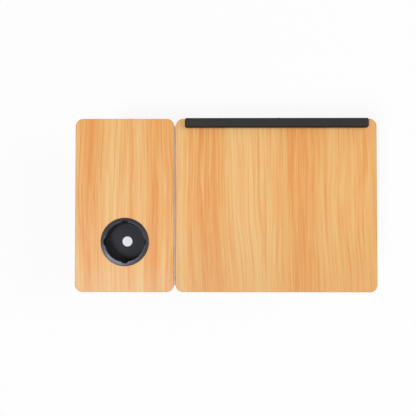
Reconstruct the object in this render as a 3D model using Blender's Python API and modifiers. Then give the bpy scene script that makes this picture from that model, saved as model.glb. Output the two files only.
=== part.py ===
"""A folding laptop table: a fixed side board with a cup holder, a tilting main board with a stopper bar,
a tube frame, and two folding, telescoping leg pairs. Metres, +Z up, +Y towards the user, origin on the
floor under the middle of the top."""

import math

import bmesh
import bpy
from mathutils import Matrix, Vector

# Top boards
TABLE_WIDTH = 0.600
TABLE_DEPTH = 0.345
TOP_HEIGHT = 0.240
SIDE_BOARD_WIDTH = 0.197
BOARD_GAP = 0.003
BOARD_THICKNESS = 0.009
BOARD_CORNER_RADIUS = 0.015
BOARD_EDGE_RADIUS = 0.0012

# Clearance between pieces that touch or run in each other, and the overrun of a cut
SEAT_GAP = 0.0003
OVERRUN = 0.002
WELD_DISTANCE = 0.000001

# Stopper bar on the main board
STOPPER_LENGTH = 0.362
STOPPER_WIDTH = 0.0185
STOPPER_HEIGHT = 0.0165
STOPPER_EDGE_RADIUS = 0.003
STOPPER_EDGE_INSET = 0.0011
STOPPER_NUB_WIDTH = 0.0025
STOPPER_NUB_HEIGHT = 0.005
STOPPER_NUB_OFFSET = 0.004
STOPPER_PAD_THICKNESS = 0.001
STOPPER_PAD_INSET = 0.0022

# Cup holder in the side board
CUP_EDGE_INSET = 0.0994
CUP_OPENING_RADIUS = 0.0392
CUP_FLOOR_INSET = 0.002
CUP_WALL = 0.0018
CUP_DEPTH = 0.0398
CUP_CORNER_RADIUS = 0.004
FLANGE_OVERHANG = 0.0069
FLANGE_HEIGHT = 0.0034
FLANGE_EDGE_HEIGHT = 0.0012
DRAIN_RADIUS = 0.0101
LIP_NOTCH_WIDTH = 0.016
LIP_NOTCH_REACH = 0.0034
LIP_NOTCH_FLOOR = 0.0012
CLIP_WIDTH = 0.012
CLIP_HEIGHT = 0.005
CLIP_HOOK = 0.0022

# Rails and beams of the frame
RAIL_DIAMETER = 0.016
RAIL_WALL = 0.0012
RAIL_EDGE_INSET = 0.0225
BEAM_WIDTH = 0.022
BEAM_OUTER_INSET = 0.013
BEAM_END_WALL = 0.004

# Saddles that hang the main board on the front rail
SADDLE_WALL = 0.0019
SADDLE_WIDTH = 0.030
SADDLE_END_INSET = 0.060
SADDLE_FLANGE_LENGTH = 0.030
SADDLE_FLANGE_THICKNESS = 0.002
SADDLE_MOUTH_ANGLE = math.radians(100)

# Prop that holds the main board up
TILT_STEP_ANGLES = [math.radians(degrees) for degrees in (15, 22, 29, 36)]
PROP_FOOT_SETBACK = 0.023
PROP_ARM_HEIGHT = 0.009
PROP_ARM_THICKNESS = 0.003
PROP_ARM_SIDE_GAP = 0.0008
PROP_ROD_RADIUS = 0.003
PROP_PIN_RADIUS = 0.0025
PIN_HEAD_OVERHANG = 0.002
PIN_HEAD_THICKNESS = 0.0015
BRACKET_THICKNESS = 0.0025
BRACKET_HALF_LENGTH = 0.012
BRACKET_FLANGE_WIDTH = 0.015
BRACKET_EYE_RADIUS = 0.006
NOTCH_RAIL_THICKNESS = 0.004
NOTCH_RAIL_END = 0.008
NOTCH_RAIL_MARGIN = 0.001
NOTCH_DEPTH = 0.002

# Leg hinges
STATION_INSET = 0.025
FOLD_CLEARANCE = 0.0008
SOCKET_WALL = 0.0017
SOCKET_LENGTH = 0.036
SOCKET_FLOOR = 0.014
BARREL_INSET = 0.0005
KNUCKLE_SIDE_STEP = 0.0005
CHEEK_THICKNESS = 0.0045
HINGE_PIN_RADIUS = 0.003
BUTTON_RADIUS = 0.007
BUTTON_BOSS_WALL = 0.0025
BUTTON_BOSS_HEIGHT = 0.002
BUTTON_TRAVEL = 0.003
BUTTON_PROUD = 0.0035
BUTTON_CAP = 0.003
BUTTON_DEPTH_IN_BARREL = 0.006
SPRING_LENGTH = 0.009
SPRING_WALL = 0.0014

# Upper legs
UPPER_TUBE_DIAMETER = 0.018
TUBE_WALL = 0.0012
BRACE_DIAMETER = 0.012
BRACE_WALL = 0.001
BRACE_DROP = 0.025
BRACE_BOSS_WALL = 0.0017
BRACE_BOSS_REACH = 0.008
BRACE_SEAT_DEPTH = 0.007

# Clamp collars and their levers
COLLAR_WALL = 0.0019
COLLAR_HEIGHT = 0.024
COLLAR_LIP = 0.010
COLLAR_FOOT_GAP = 0.010
LEVER_BARREL_RADIUS = 0.004
LEVER_WIDTH = 0.012
LEVER_LENGTH = 0.036
LEVER_TIP_FLARE = 0.003
EAR_THICKNESS = 0.0025
EAR_WALL = 0.001
EAR_LIFT = 0.001
TRUNNION_RADIUS = 0.002

# Lower legs
LOWER_TUBE_HEADROOM = 0.0231
FOOT_BEND_RADIUS = 0.030
FOOT_PAD_BASE = 0.003
FOOT_PAD_WALL = 0.0025
FOOT_PAD_LENGTH = 0.028
FOOT_PAD_BEND_GAP = 0.003
FOOT_PAD_CORNER_RADIUS = 0.002

# Facets
ROUND_SIDES = 16
SMALL_SIDES = 12
CUP_SIDES = 40
ARC_STEPS = 6

# Heights and places that follow from the sizes above
RAIL_RADIUS = RAIL_DIAMETER / 2
RAIL_BORE_RADIUS = RAIL_RADIUS + SEAT_GAP
BEAM_RADIUS = RAIL_BORE_RADIUS + SADDLE_WALL
BOARD_UNDERSIDE = TOP_HEIGHT - BOARD_THICKNESS
RAIL_Z = BOARD_UNDERSIDE - SEAT_GAP - BEAM_RADIUS
RAIL_Y = TABLE_DEPTH / 2 - RAIL_EDGE_INSET
BEAM_X = TABLE_WIDTH / 2 - BEAM_OUTER_INSET - BEAM_WIDTH / 2
BEAM_BOTTOM = RAIL_Z - BEAM_RADIUS
MAIN_BOARD_LEFT = -TABLE_WIDTH / 2 + SIDE_BOARD_WIDTH + BOARD_GAP
MAIN_BOARD_RIGHT = TABLE_WIDTH / 2
CENTRE_BEAM_X = MAIN_BOARD_LEFT - BOARD_GAP / 2

UPPER_TUBE_RADIUS = UPPER_TUBE_DIAMETER / 2
SOCKET_BORE_RADIUS = UPPER_TUBE_RADIUS + SEAT_GAP
SOCKET_RADIUS = SOCKET_BORE_RADIUS + SOCKET_WALL
BARREL_RADIUS = SOCKET_RADIUS - BARREL_INSET
KNUCKLE_HALF_WIDTH = SOCKET_RADIUS + KNUCKLE_SIDE_STEP
PIVOT_Z = BEAM_BOTTOM - FOLD_CLEARANCE - SOCKET_RADIUS
STATION_Y = RAIL_Y - STATION_INSET
CHEEK_INNER = KNUCKLE_HALF_WIDTH + SEAT_GAP
CHEEK_OUTER = CHEEK_INNER + CHEEK_THICKNESS
BUTTON_BORE_RADIUS = BUTTON_RADIUS + SEAT_GAP
BOSS_FACE = CHEEK_OUTER + BUTTON_BOSS_HEIGHT
BUTTON_TOP = BOSS_FACE + BUTTON_PROUD
BUTTON_FOOT = KNUCKLE_HALF_WIDTH - BUTTON_DEPTH_IN_BARREL
SPRING_SEAT = BUTTON_FOOT - SPRING_LENGTH - SEAT_GAP
PIN_BORE_RADIUS = HINGE_PIN_RADIUS + SEAT_GAP

LOWER_TUBE_RADIUS = UPPER_TUBE_RADIUS - TUBE_WALL - SEAT_GAP
FOOT_BAR_Z = FOOT_PAD_BASE + SEAT_GAP + LOWER_TUBE_RADIUS
COLLAR_RADIUS = SOCKET_BORE_RADIUS + COLLAR_WALL
COLLAR_BOTTOM = FOOT_BAR_Z + FOOT_BEND_RADIUS + COLLAR_FOOT_GAP
UPPER_TUBE_TOP = PIVOT_Z - SOCKET_FLOOR - SEAT_GAP
UPPER_TUBE_BOTTOM = COLLAR_BOTTOM + COLLAR_LIP + SEAT_GAP
LOWER_TUBE_TOP = UPPER_TUBE_TOP - LOWER_TUBE_HEADROOM
LEVER_PIVOT_REACH = COLLAR_RADIUS + SEAT_GAP + LEVER_BARREL_RADIUS
EAR_RADIUS = LEVER_BARREL_RADIUS + EAR_WALL
LEVER_PIVOT_Z = COLLAR_BOTTOM + EAR_LIFT + EAR_RADIUS

PROP_REACH = RAIL_Y - PROP_FOOT_SETBACK / 2
PROP_PIVOT_Y = RAIL_Y - PROP_REACH
PROP_FOOT_Y = RAIL_Y - 2 * PROP_REACH

SIDES = {"left": -1, "right": 1}
ROWS = {"front": 1, "rear": -1}

# Base colour, roughness and metallic value of each finish
FINISHES = {
    "beech laminate": ((0.86, 0.50, 0.24), 0.45, 0.0),
    "black plastic": ((0.035, 0.035, 0.037), 0.45, 0.0),
    "grey plastic": ((0.30, 0.30, 0.33), 0.5, 0.0),
    "black painted steel": ((0.03, 0.03, 0.032), 0.35, 0.0),
    "brushed aluminium": ((0.62, 0.63, 0.66), 0.35, 1.0),
    "zinc plated steel": ((0.55, 0.55, 0.56), 0.3, 1.0),
    "foam": ((0.05, 0.05, 0.05), 0.95, 0.0),
    "rubber": ((0.02, 0.02, 0.02), 0.85, 0.0),
}


def clear_scene():
    """Empty the scene."""
    for obj in list(bpy.data.objects):
        bpy.data.objects.remove(obj, do_unlink=True)


def new_collection(name):
    """A collection of its own under the scene's."""
    collection = bpy.data.collections.new(name)
    bpy.context.scene.collection.children.link(collection)
    return collection


def shape(mesh, location=(0, 0, 0)):
    """A helper object, which becomes a sub-part only when it is named with part()."""
    obj = bpy.data.objects.new("helper", mesh)
    obj.location = location
    obj.hide_render = True
    obj.display_type = "WIRE"
    bpy.data.collections["cutters"].objects.link(obj)
    return obj


def shape_from(bm, location=(0, 0, 0)):
    """A helper object that holds a finished bmesh."""
    mesh = bpy.data.meshes.new("helper")
    bm.to_mesh(mesh)
    bm.free()
    return shape(mesh, location)


def finish_material(name, finish):
    """A Principled material of the sub-part's own."""
    colour, roughness, metallic = FINISHES[finish]
    material = bpy.data.materials.new(f"{name} {finish}")
    material.use_nodes = True
    shader = material.node_tree.nodes["Principled BSDF"]
    shader.inputs["Base Color"].default_value = (*colour, 1.0)
    shader.inputs["Roughness"].default_value = roughness
    shader.inputs["Metallic"].default_value = metallic
    return material


def part(obj, name, finish, body=None):
    """Name a shape as a sub-part, give it its material and let it ride its body's empty."""
    obj.name = name
    obj.data.name = name
    obj.hide_render = False
    obj.display_type = "TEXTURED"
    bpy.data.collections["cutters"].objects.unlink(obj)
    bpy.data.collections["folding_laptop_table"].objects.link(obj)
    obj.data.materials.clear()
    obj.data.materials.append(finish_material(name, finish))
    obj.data.shade_smooth()
    obj.data.set_sharp_from_angle(angle=math.radians(35))
    if body is not None:
        ride(obj, body)
    return obj


def ride(obj, body):
    """Parent an object to its body's empty, with both placed in world coordinates."""
    obj.parent = body
    obj.matrix_parent_inverse = Matrix.Translation(body.location).inverted()


def axis_empty(name, location, parent=None):
    """An empty on a joint's axis, which carries the pieces of one moving body."""
    empty = bpy.data.objects.new(name, None)
    empty.location = location
    bpy.data.collections["folding_laptop_table"].objects.link(empty)
    if parent is not None:
        ride(empty, parent)
    return empty


def combine(obj, tool, operation):
    """A Boolean of one shape with another."""
    modifier = obj.modifiers.new(operation.title(), "BOOLEAN")
    modifier.operation = operation
    modifier.object = tool
    modifier.solver = "EXACT"


def cut(obj, *tools):
    for tool in tools:
        combine(obj, tool, "DIFFERENCE")
    return obj


def join(obj, *tools):
    for tool in tools:
        combine(obj, tool, "UNION")
    return obj


def rod(start, end, radius, sides=ROUND_SIDES):
    """A cylinder from one point to another."""
    start, end = Vector(start), Vector(end)
    bm = bmesh.new()
    bmesh.ops.create_cone(
        bm,
        cap_ends=True,
        segments=sides,
        radius1=radius,
        radius2=radius,
        depth=(end - start).length,
    )
    obj = shape_from(bm, (start + end) / 2)
    obj.rotation_euler = (end - start).to_track_quat("Z", "Y").to_euler()
    return obj


def box(low, high):
    """A box between two corners, given in any order."""
    low, high = Vector(low), Vector(high)
    bm = bmesh.new()
    bmesh.ops.create_cube(bm, size=1)
    bmesh.ops.scale(bm, vec=[abs(length) for length in high - low], verts=bm.verts)
    return shape_from(bm, (low + high) / 2)


def arc(centre, radius, start_degrees, end_degrees, steps=ARC_STEPS):
    """Points along an arc in a plane, both ends included."""
    points = []
    for step in range(steps + 1):
        angle = math.radians(start_degrees + (end_degrees - start_degrees) * step / steps)
        points.append((centre[0] + radius * math.cos(angle), centre[1] + radius * math.sin(angle)))
    return points


def mesh_of_curve(obj):
    """The closed mesh of a curve object, with its caps welded on. The curve itself is removed."""
    bpy.context.view_layer.update()
    graph = bpy.context.evaluated_depsgraph_get()
    mesh = bpy.data.meshes.new_from_object(obj.evaluated_get(graph), depsgraph=graph)
    bm = bmesh.new()
    bm.from_mesh(mesh)
    bmesh.ops.remove_doubles(bm, verts=bm.verts, dist=WELD_DISTANCE)
    bmesh.ops.recalc_face_normals(bm, faces=bm.faces)
    bm.to_mesh(mesh)
    bm.free()
    placed = shape(mesh, obj.location)
    placed.matrix_world = obj.matrix_world
    curve = obj.data
    bpy.data.objects.remove(obj)
    bpy.data.curves.remove(curve)
    return placed


def curve_object(points, cyclic, dimensions):
    """A curve object on one POLY spline."""
    curve = bpy.data.curves.new("helper", "CURVE")
    curve.dimensions = dimensions
    spline = curve.splines.new("POLY")
    spline.points.add(len(points) - 1)
    for spline_point, point in zip(spline.points, points):
        spline_point.co = (*Vector(point).to_3d(), 1.0)
    spline.use_cyclic_u = cyclic
    return shape(curve)


def plate(outline, axis, low, high):
    """A flat outline extruded along X, Y or Z. An outline is in YZ, XZ or XY."""
    obj = curve_object(outline, True, "2D")
    obj.data.fill_mode = "BOTH"
    obj.data.extrude = abs(high - low) / 2
    middle = (low + high) / 2
    rows = {
        "X": ((0, 0, 1), (1, 0, 0), (0, 1, 0)),
        "Y": ((1, 0, 0), (0, 0, -1), (0, 1, 0)),
        "Z": ((1, 0, 0), (0, 1, 0), (0, 0, 1)),
    }[axis]
    offset = {"X": (middle, 0, 0), "Y": (0, middle, 0), "Z": (0, 0, middle)}[axis]
    obj.matrix_world = Matrix.Translation(offset) @ Matrix(rows).to_4x4()
    return mesh_of_curve(obj)


def pipe(points, radius, resolution=4):
    """A round bar along a path of points."""
    obj = curve_object(points, False, "3D")
    obj.data.bevel_depth = radius
    obj.data.bevel_resolution = resolution
    obj.data.use_fill_caps = True
    return mesh_of_curve(obj)


def stadium(start, end, radius):
    """The outline of a slot or bar between two points on a line along the first axis."""
    return arc(end, radius, -90, 90) + arc(start, radius, 90, 270)


def is_upright(edge):
    """Whether an edge climbs, as opposed to one that lies level."""
    return abs(edge.verts[0].co.z - edge.verts[1].co.z) > WELD_DISTANCE


def rounded_board(low, high):
    """A board with round corners and eased edges."""
    low, high = Vector(low), Vector(high)
    bm = bmesh.new()
    bmesh.ops.create_cube(bm, size=1)
    bmesh.ops.scale(bm, vec=high - low, verts=bm.verts)
    corners = [edge for edge in bm.edges if is_upright(edge)]
    bmesh.ops.bevel(
        bm, geom=corners, offset=BOARD_CORNER_RADIUS, segments=ARC_STEPS, profile=0.5, affect="EDGES"
    )
    rims = [edge for edge in bm.edges if not is_upright(edge)]
    bmesh.ops.bevel(bm, geom=rims, offset=BOARD_EDGE_RADIUS, segments=2, profile=0.5, affect="EDGES")
    return shape_from(bm, (low + high) / 2)


def softened_box(low, high, radius, segments):
    """A box with every edge rounded."""
    obj = box(low, high)
    bevel = obj.modifiers.new("Edges", "BEVEL")
    bevel.width = radius
    bevel.segments = segments
    bevel.limit_method = "NONE"
    return obj


def turned(profile, centre, steps):
    """A closed profile of radius and height, turned about the vertical line through a point."""
    bm = bmesh.new()
    verts = [bm.verts.new((radius, 0, height)) for radius, height in profile]
    for first, second in zip(verts, verts[1:] + verts[:1]):
        bm.edges.new((first, second))
    obj = shape_from(bm, centre)
    screw = obj.modifiers.new("Turn", "SCREW")
    screw.steps = steps
    screw.render_steps = steps
    screw.use_merge_vertices = True
    screw.merge_threshold = WELD_DISTANCE
    return obj


def open_tube(start, end, radius, wall, sides=ROUND_SIDES):
    """A straight tube, open at both ends."""
    start, end = Vector(start), Vector(end)
    past = (end - start).normalized() * OVERRUN
    return cut(rod(start, end, radius, sides), rod(start - past, end + past, radius - wall, sides))


def cup_centre():
    """Where the cup holder's axis meets the top of the side board."""
    return Vector((CUP_EDGE_INSET - TABLE_WIDTH / 2, CUP_EDGE_INSET - TABLE_DEPTH / 2, TOP_HEIGHT))


def add_side_board():
    """The fixed board with the hole that the cup holder drops into."""
    half_depth = TABLE_DEPTH / 2
    board = rounded_board(
        (-TABLE_WIDTH / 2, -half_depth, BOARD_UNDERSIDE),
        (MAIN_BOARD_LEFT - BOARD_GAP, half_depth, TOP_HEIGHT),
    )
    centre = cup_centre()
    through = Vector((0, 0, BOARD_THICKNESS + OVERRUN))
    hole_radius = CUP_OPENING_RADIUS + CUP_WALL + SEAT_GAP
    cut(board, rod(centre - through, centre + through, hole_radius, CUP_SIDES))
    part(board, "side_board", "beech laminate")


def cup_profile():
    """Radius and height of the cup's section, from the top of its outer side down and round."""
    outer = CUP_OPENING_RADIUS + CUP_WALL
    floor_edge = CUP_OPENING_RADIUS - CUP_FLOOR_INSET
    rim = outer + FLANGE_OVERHANG
    crown = (outer + rim) / 2
    floor = -CUP_DEPTH + CUP_WALL
    corner = CUP_CORNER_RADIUS
    base = floor_edge + CUP_WALL
    profile = [
        (crown, FLANGE_HEIGHT),
        ((crown + rim) / 2, (FLANGE_HEIGHT + FLANGE_EDGE_HEIGHT) / 2 + SEAT_GAP),
        (rim, FLANGE_EDGE_HEIGHT),
        (rim, SEAT_GAP),
        (outer, SEAT_GAP),
    ]
    profile += arc((base - corner, -CUP_DEPTH + corner), corner, 0, -90, 3)
    profile += [(DRAIN_RADIUS, -CUP_DEPTH), (DRAIN_RADIUS, floor)]
    inner_corner = corner - CUP_WALL
    profile += arc((floor_edge - inner_corner, floor + inner_corner), inner_corner, -90, 0, 3)
    profile += [
        (CUP_OPENING_RADIUS, FLANGE_HEIGHT - CUP_WALL / 2),
        ((CUP_OPENING_RADIUS + crown) / 2, FLANGE_HEIGHT),
    ]
    return profile


def add_cup_holder():
    """A turned cup with a domed flange, four windows in its lip and a snap clip under each."""
    centre = cup_centre()
    cup = turned(cup_profile(), centre, CUP_SIDES)
    outer = CUP_OPENING_RADIUS + CUP_WALL
    hook_top = -BOARD_THICKNESS - SEAT_GAP
    for quarter in range(4):
        spin = Matrix.Rotation(math.radians(90) * quarter, 4, "Z")
        hook = box(
            (CUP_OPENING_RADIUS, -CLIP_WIDTH / 2, hook_top - CLIP_HEIGHT),
            (outer + CLIP_HOOK, CLIP_WIDTH / 2, hook_top),
        )
        window = box(
            (CUP_OPENING_RADIUS - OVERRUN, -LIP_NOTCH_WIDTH / 2, LIP_NOTCH_FLOOR),
            (CUP_OPENING_RADIUS + LIP_NOTCH_REACH, LIP_NOTCH_WIDTH / 2, FLANGE_HEIGHT + OVERRUN),
        )
        for tool in (hook, window):
            bpy.context.view_layer.update()
            tool.matrix_world = Matrix.Translation(centre) @ spin @ tool.matrix_world
        join(cup, hook)
        cut(cup, window)
    part(cup, "cup_holder", "black plastic")


def add_rails():
    """The front and rear tubes that tie the three beams together."""
    end = BEAM_X + BEAM_WIDTH / 2 - BEAM_END_WALL - SEAT_GAP
    for row, sign in ROWS.items():
        rail = open_tube(
            (-end, sign * RAIL_Y, RAIL_Z), (end, sign * RAIL_Y, RAIL_Z), RAIL_RADIUS, RAIL_WALL
        )
        part(rail, f"{row}_rail", "black painted steel")


def beam_bar(x):
    """A beam across the frame with round ends about the rails' axes."""
    outline = stadium((-RAIL_Y, RAIL_Z), (RAIL_Y, RAIL_Z), BEAM_RADIUS)
    return plate(outline, "X", x - BEAM_WIDTH / 2, x + BEAM_WIDTH / 2)


def cheek(x, y_low, y_high):
    """A lug under an end beam, round about the leg's pivot."""
    middle = (RAIL_Z, PIVOT_Z)
    half = BEAM_WIDTH / 2 - SEAT_GAP
    outline = arc((x, middle[1]), half, 180, 360, ARC_STEPS * 2)
    outline += [(x + half, middle[0]), (x - half, middle[0])]
    return plate(outline, "Y", y_low, y_high)


def add_end_beam(side, side_sign):
    """The beam at one end of the frame, with the cheeks and button bosses of its two leg hinges."""
    x = side_sign * BEAM_X
    beam = beam_bar(x)
    for row_sign in ROWS.values():
        station = row_sign * STATION_Y
        inner = (station - row_sign * CHEEK_OUTER, station - row_sign * CHEEK_INNER)
        outer = (station + row_sign * CHEEK_INNER, station + row_sign * CHEEK_OUTER)
        join(beam, cheek(x, *inner), cheek(x, *outer))
        boss_root = station + row_sign * (CHEEK_OUTER - CHEEK_THICKNESS / 2)
        boss_face = station + row_sign * BOSS_FACE
        boss = rod(
            (x, boss_root, PIVOT_Z), (x, boss_face, PIVOT_Z), BUTTON_BORE_RADIUS + BUTTON_BOSS_WALL
        )
        join(beam, boss)
    for row_sign in ROWS.values():
        station = row_sign * STATION_Y
        pin_hole = rod(
            (x, station - row_sign * (CHEEK_OUTER + OVERRUN), PIVOT_Z),
            (x, station, PIVOT_Z),
            PIN_BORE_RADIUS,
            SMALL_SIDES,
        )
        button_hole = rod(
            (x, station, PIVOT_Z),
            (x, station + row_sign * (BOSS_FACE + OVERRUN), PIVOT_Z),
            BUTTON_BORE_RADIUS,
        )
        rail_hole = rod(
            (x + side_sign * (BEAM_WIDTH / 2 - BEAM_END_WALL), row_sign * RAIL_Y, RAIL_Z),
            (x - side_sign * (BEAM_WIDTH / 2 + OVERRUN), row_sign * RAIL_Y, RAIL_Z),
            RAIL_BORE_RADIUS,
        )
        cut(beam, pin_hole, button_hole, rail_hole)
    part(beam, f"{side}_end_beam", "black plastic")


def add_centre_beam():
    """The beam under the gap between the boards. Both rails pass through it."""
    beam = beam_bar(CENTRE_BEAM_X)
    reach = BEAM_WIDTH / 2 + OVERRUN
    for row_sign in ROWS.values():
        hole = rod(
            (CENTRE_BEAM_X - reach, row_sign * RAIL_Y, RAIL_Z),
            (CENTRE_BEAM_X + reach, row_sign * RAIL_Y, RAIL_Z),
            RAIL_BORE_RADIUS,
        )
        cut(beam, hole)
    part(beam, "centre_beam", "grey plastic")


def prop_faces():
    """For the left and right prop: where the frame's face is, and which way leads inward."""
    return {
        "left": (CENTRE_BEAM_X + BEAM_WIDTH / 2, 1),
        "right": (BEAM_X - BEAM_WIDTH / 2, -1),
    }


def prop_foot_y(tilt):
    """Where the prop's foot rod stands when the main board is tilted."""
    return RAIL_Y - 2 * PROP_REACH * math.cos(tilt)


def add_notch_rails():
    """The two plates whose notched slots the prop's foot rod slides along."""
    steepest = prop_foot_y(TILT_STEP_ANGLES[-1])
    half_height = BEAM_RADIUS - NOTCH_RAIL_MARGIN
    slot_radius = PROP_ROD_RADIUS + SEAT_GAP
    for side, (face, inward) in prop_faces().items():
        near = face + inward * SEAT_GAP
        far = near + inward * NOTCH_RAIL_THICKNESS
        back, front = PROP_FOOT_Y - NOTCH_RAIL_END, steepest + NOTCH_RAIL_END
        bottom, top = RAIL_Z - half_height, RAIL_Z + half_height
        rail = box((near, back, bottom), (far, front, top))
        slot = plate(
            stadium((PROP_FOOT_Y, RAIL_Z), (steepest, RAIL_Z), slot_radius),
            "X",
            near - inward * OVERRUN,
            far + inward * OVERRUN,
        )
        cut(rail, slot)
        for tilt in TILT_STEP_ANGLES:
            y, z = prop_foot_y(tilt), RAIL_Z - NOTCH_DEPTH
            notch = rod(
                (near - inward * OVERRUN, y, z), (far + inward * OVERRUN, y, z), slot_radius, SMALL_SIDES
            )
            cut(rail, notch)
        part(rail, f"notch_rail_{side}", "zinc plated steel")


def add_main_board(tray):
    """The tilting board."""
    half_depth = TABLE_DEPTH / 2
    board = rounded_board(
        (MAIN_BOARD_LEFT, -half_depth, BOARD_UNDERSIDE),
        (MAIN_BOARD_RIGHT, half_depth, TOP_HEIGHT),
    )
    part(board, "main_board", "beech laminate", tray)


def add_stopper(tray):
    """The bar that stops a laptop from sliding off, on its bedding strip."""
    middle = (MAIN_BOARD_LEFT + MAIN_BOARD_RIGHT) / 2
    outer = TABLE_DEPTH / 2 - STOPPER_EDGE_INSET
    inner = outer - STOPPER_WIDTH
    half = STOPPER_LENGTH / 2
    pad_bottom = TOP_HEIGHT + SEAT_GAP
    bar_bottom = pad_bottom + STOPPER_PAD_THICKNESS + SEAT_GAP
    bar = softened_box(
        (middle - half, inner, bar_bottom),
        (middle + half, outer, bar_bottom + STOPPER_HEIGHT),
        STOPPER_EDGE_RADIUS,
        3,
    )
    nub_x = middle + STOPPER_NUB_OFFSET
    nub_z = bar_bottom + STOPPER_HEIGHT / 2
    nub = box(
        (nub_x - STOPPER_NUB_WIDTH / 2, outer - STOPPER_EDGE_RADIUS, nub_z - STOPPER_NUB_HEIGHT / 2),
        (nub_x + STOPPER_NUB_WIDTH / 2, TABLE_DEPTH / 2, nub_z + STOPPER_NUB_HEIGHT / 2),
    )
    part(join(bar, nub), "stopper_bar", "black plastic", tray)
    inset = STOPPER_PAD_INSET
    pad = box(
        (middle - half + inset, inner + inset, pad_bottom),
        (middle + half - inset, outer - inset, pad_bottom + STOPPER_PAD_THICKNESS),
    )
    part(pad, "stopper_pad", "foam", tray)


def saddle_outline():
    """A C clip round the front rail with a flange under the board, in YZ."""
    centre = (RAIL_Y, RAIL_Z)
    half_mouth = math.degrees(SADDLE_MOUTH_ANGLE) / 2
    outer = arc(centre, BEAM_RADIUS, -90 + half_mouth, 90, ARC_STEPS * 2)
    top = RAIL_Z + BEAM_RADIUS
    flange_end = RAIL_Y - SADDLE_FLANGE_LENGTH
    flange = [(flange_end, top), (flange_end, top - SADDLE_FLANGE_THICKNESS)]
    meet = math.degrees(math.acos(1 - SADDLE_FLANGE_THICKNESS / BEAM_RADIUS))
    back = arc(centre, BEAM_RADIUS, 90 + meet, 270 - half_mouth, ARC_STEPS * 2)
    inside = arc(centre, RAIL_BORE_RADIUS, 270 - half_mouth, -90 + half_mouth, ARC_STEPS * 4)
    return outer + flange + back + inside


def add_saddles(tray):
    """The clips that hang the main board on the front rail, which is its tilt axis."""
    places = {
        "left": MAIN_BOARD_LEFT + SADDLE_END_INSET,
        "right": MAIN_BOARD_RIGHT - SADDLE_END_INSET,
    }
    for side, x in places.items():
        saddle = plate(saddle_outline(), "X", x - SADDLE_WIDTH / 2, x + SADDLE_WIDTH / 2)
        part(saddle, f"tilt_saddle_{side}", "black plastic", tray)


def prop_layout():
    """For each prop: the X of its arm's two faces, its bracket's two faces, and the way inward."""
    layout = {}
    for side, (face, inward) in prop_faces().items():
        arm_near = face + inward * (SEAT_GAP + NOTCH_RAIL_THICKNESS + PROP_ARM_SIDE_GAP)
        arm_far = arm_near + inward * PROP_ARM_THICKNESS
        bracket_near = arm_far + inward * SEAT_GAP
        bracket_far = bracket_near + inward * BRACKET_THICKNESS
        layout[side] = (arm_near, arm_far, bracket_near, bracket_far, inward)
    return layout


def add_prop_brackets(tray):
    """The brackets under the main board, each with the pin that its prop arm swings on."""
    top = BOARD_UNDERSIDE - SEAT_GAP
    half = BRACKET_HALF_LENGTH
    pin_hole_radius = PROP_PIN_RADIUS + SEAT_GAP
    for side, (arm_near, _, bracket_near, bracket_far, inward) in prop_layout().items():
        outline = arc((PROP_PIVOT_Y, RAIL_Z), BRACKET_EYE_RADIUS, 180, 360)
        outline += [(PROP_PIVOT_Y + half, top), (PROP_PIVOT_Y - half, top)]
        bracket = plate(outline, "X", bracket_near, bracket_far)
        flange = box(
            (bracket_near, PROP_PIVOT_Y - half, top - BRACKET_THICKNESS),
            (bracket_far + inward * BRACKET_FLANGE_WIDTH, PROP_PIVOT_Y + half, top),
        )
        hole = rod(
            (bracket_near - inward * OVERRUN, PROP_PIVOT_Y, RAIL_Z),
            (bracket_far + inward * OVERRUN, PROP_PIVOT_Y, RAIL_Z),
            pin_hole_radius,
            SMALL_SIDES,
        )
        part(cut(join(bracket, flange), hole), f"prop_bracket_{side}", "zinc plated steel", tray)
        outer_face = arm_near - inward * SEAT_GAP
        inner_face = bracket_far + inward * SEAT_GAP
        add_headed_pin(f"prop_pin_{side}", outer_face, inner_face, inward, tray)


def add_headed_pin(name, outer_face, inner_face, inward, body):
    """A rivet along X through an arm and its bracket, with a head at each end."""
    head = inward * PIN_HEAD_THICKNESS
    head_radius = PROP_PIN_RADIUS + PIN_HEAD_OVERHANG
    spans = (
        (outer_face - head, outer_face, head_radius),
        (outer_face - head / 2, inner_face + head / 2, PROP_PIN_RADIUS),
        (inner_face, inner_face + head, head_radius),
    )
    pin, shank, tail = (
        rod((start, PROP_PIVOT_Y, RAIL_Z), (end, PROP_PIVOT_Y, RAIL_Z), radius, SMALL_SIDES)
        for start, end, radius in spans
    )
    part(join(pin, shank, tail), name, "zinc plated steel", body)


def add_prop(prop):
    """The two prop arms and the rod that joins their feet and slides in the notch rails."""
    radius = PROP_ARM_HEIGHT / 2
    for side, (arm_near, arm_far, _, _, inward) in prop_layout().items():
        outline = stadium((PROP_FOOT_Y, RAIL_Z), (PROP_PIVOT_Y, RAIL_Z), radius)
        arm = plate(outline, "X", arm_near, arm_far)
        ends = ((PROP_FOOT_Y, PROP_ROD_RADIUS), (PROP_PIVOT_Y, PROP_PIN_RADIUS))
        for y, pin_radius in ends:
            hole = rod(
                (arm_near - inward * OVERRUN, y, RAIL_Z),
                (arm_far + inward * OVERRUN, y, RAIL_Z),
                pin_radius + SEAT_GAP,
                SMALL_SIDES,
            )
            cut(arm, hole)
        part(arm, f"prop_arm_{side}", "zinc plated steel", prop)
    faces = prop_faces()
    foot = rod(
        (faces["left"][0] + SEAT_GAP, PROP_FOOT_Y, RAIL_Z),
        (faces["right"][0] - SEAT_GAP, PROP_FOOT_Y, RAIL_Z),
        PROP_ROD_RADIUS,
        SMALL_SIDES,
    )
    part(foot, "prop_foot_rod", "zinc plated steel", prop)


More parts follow.
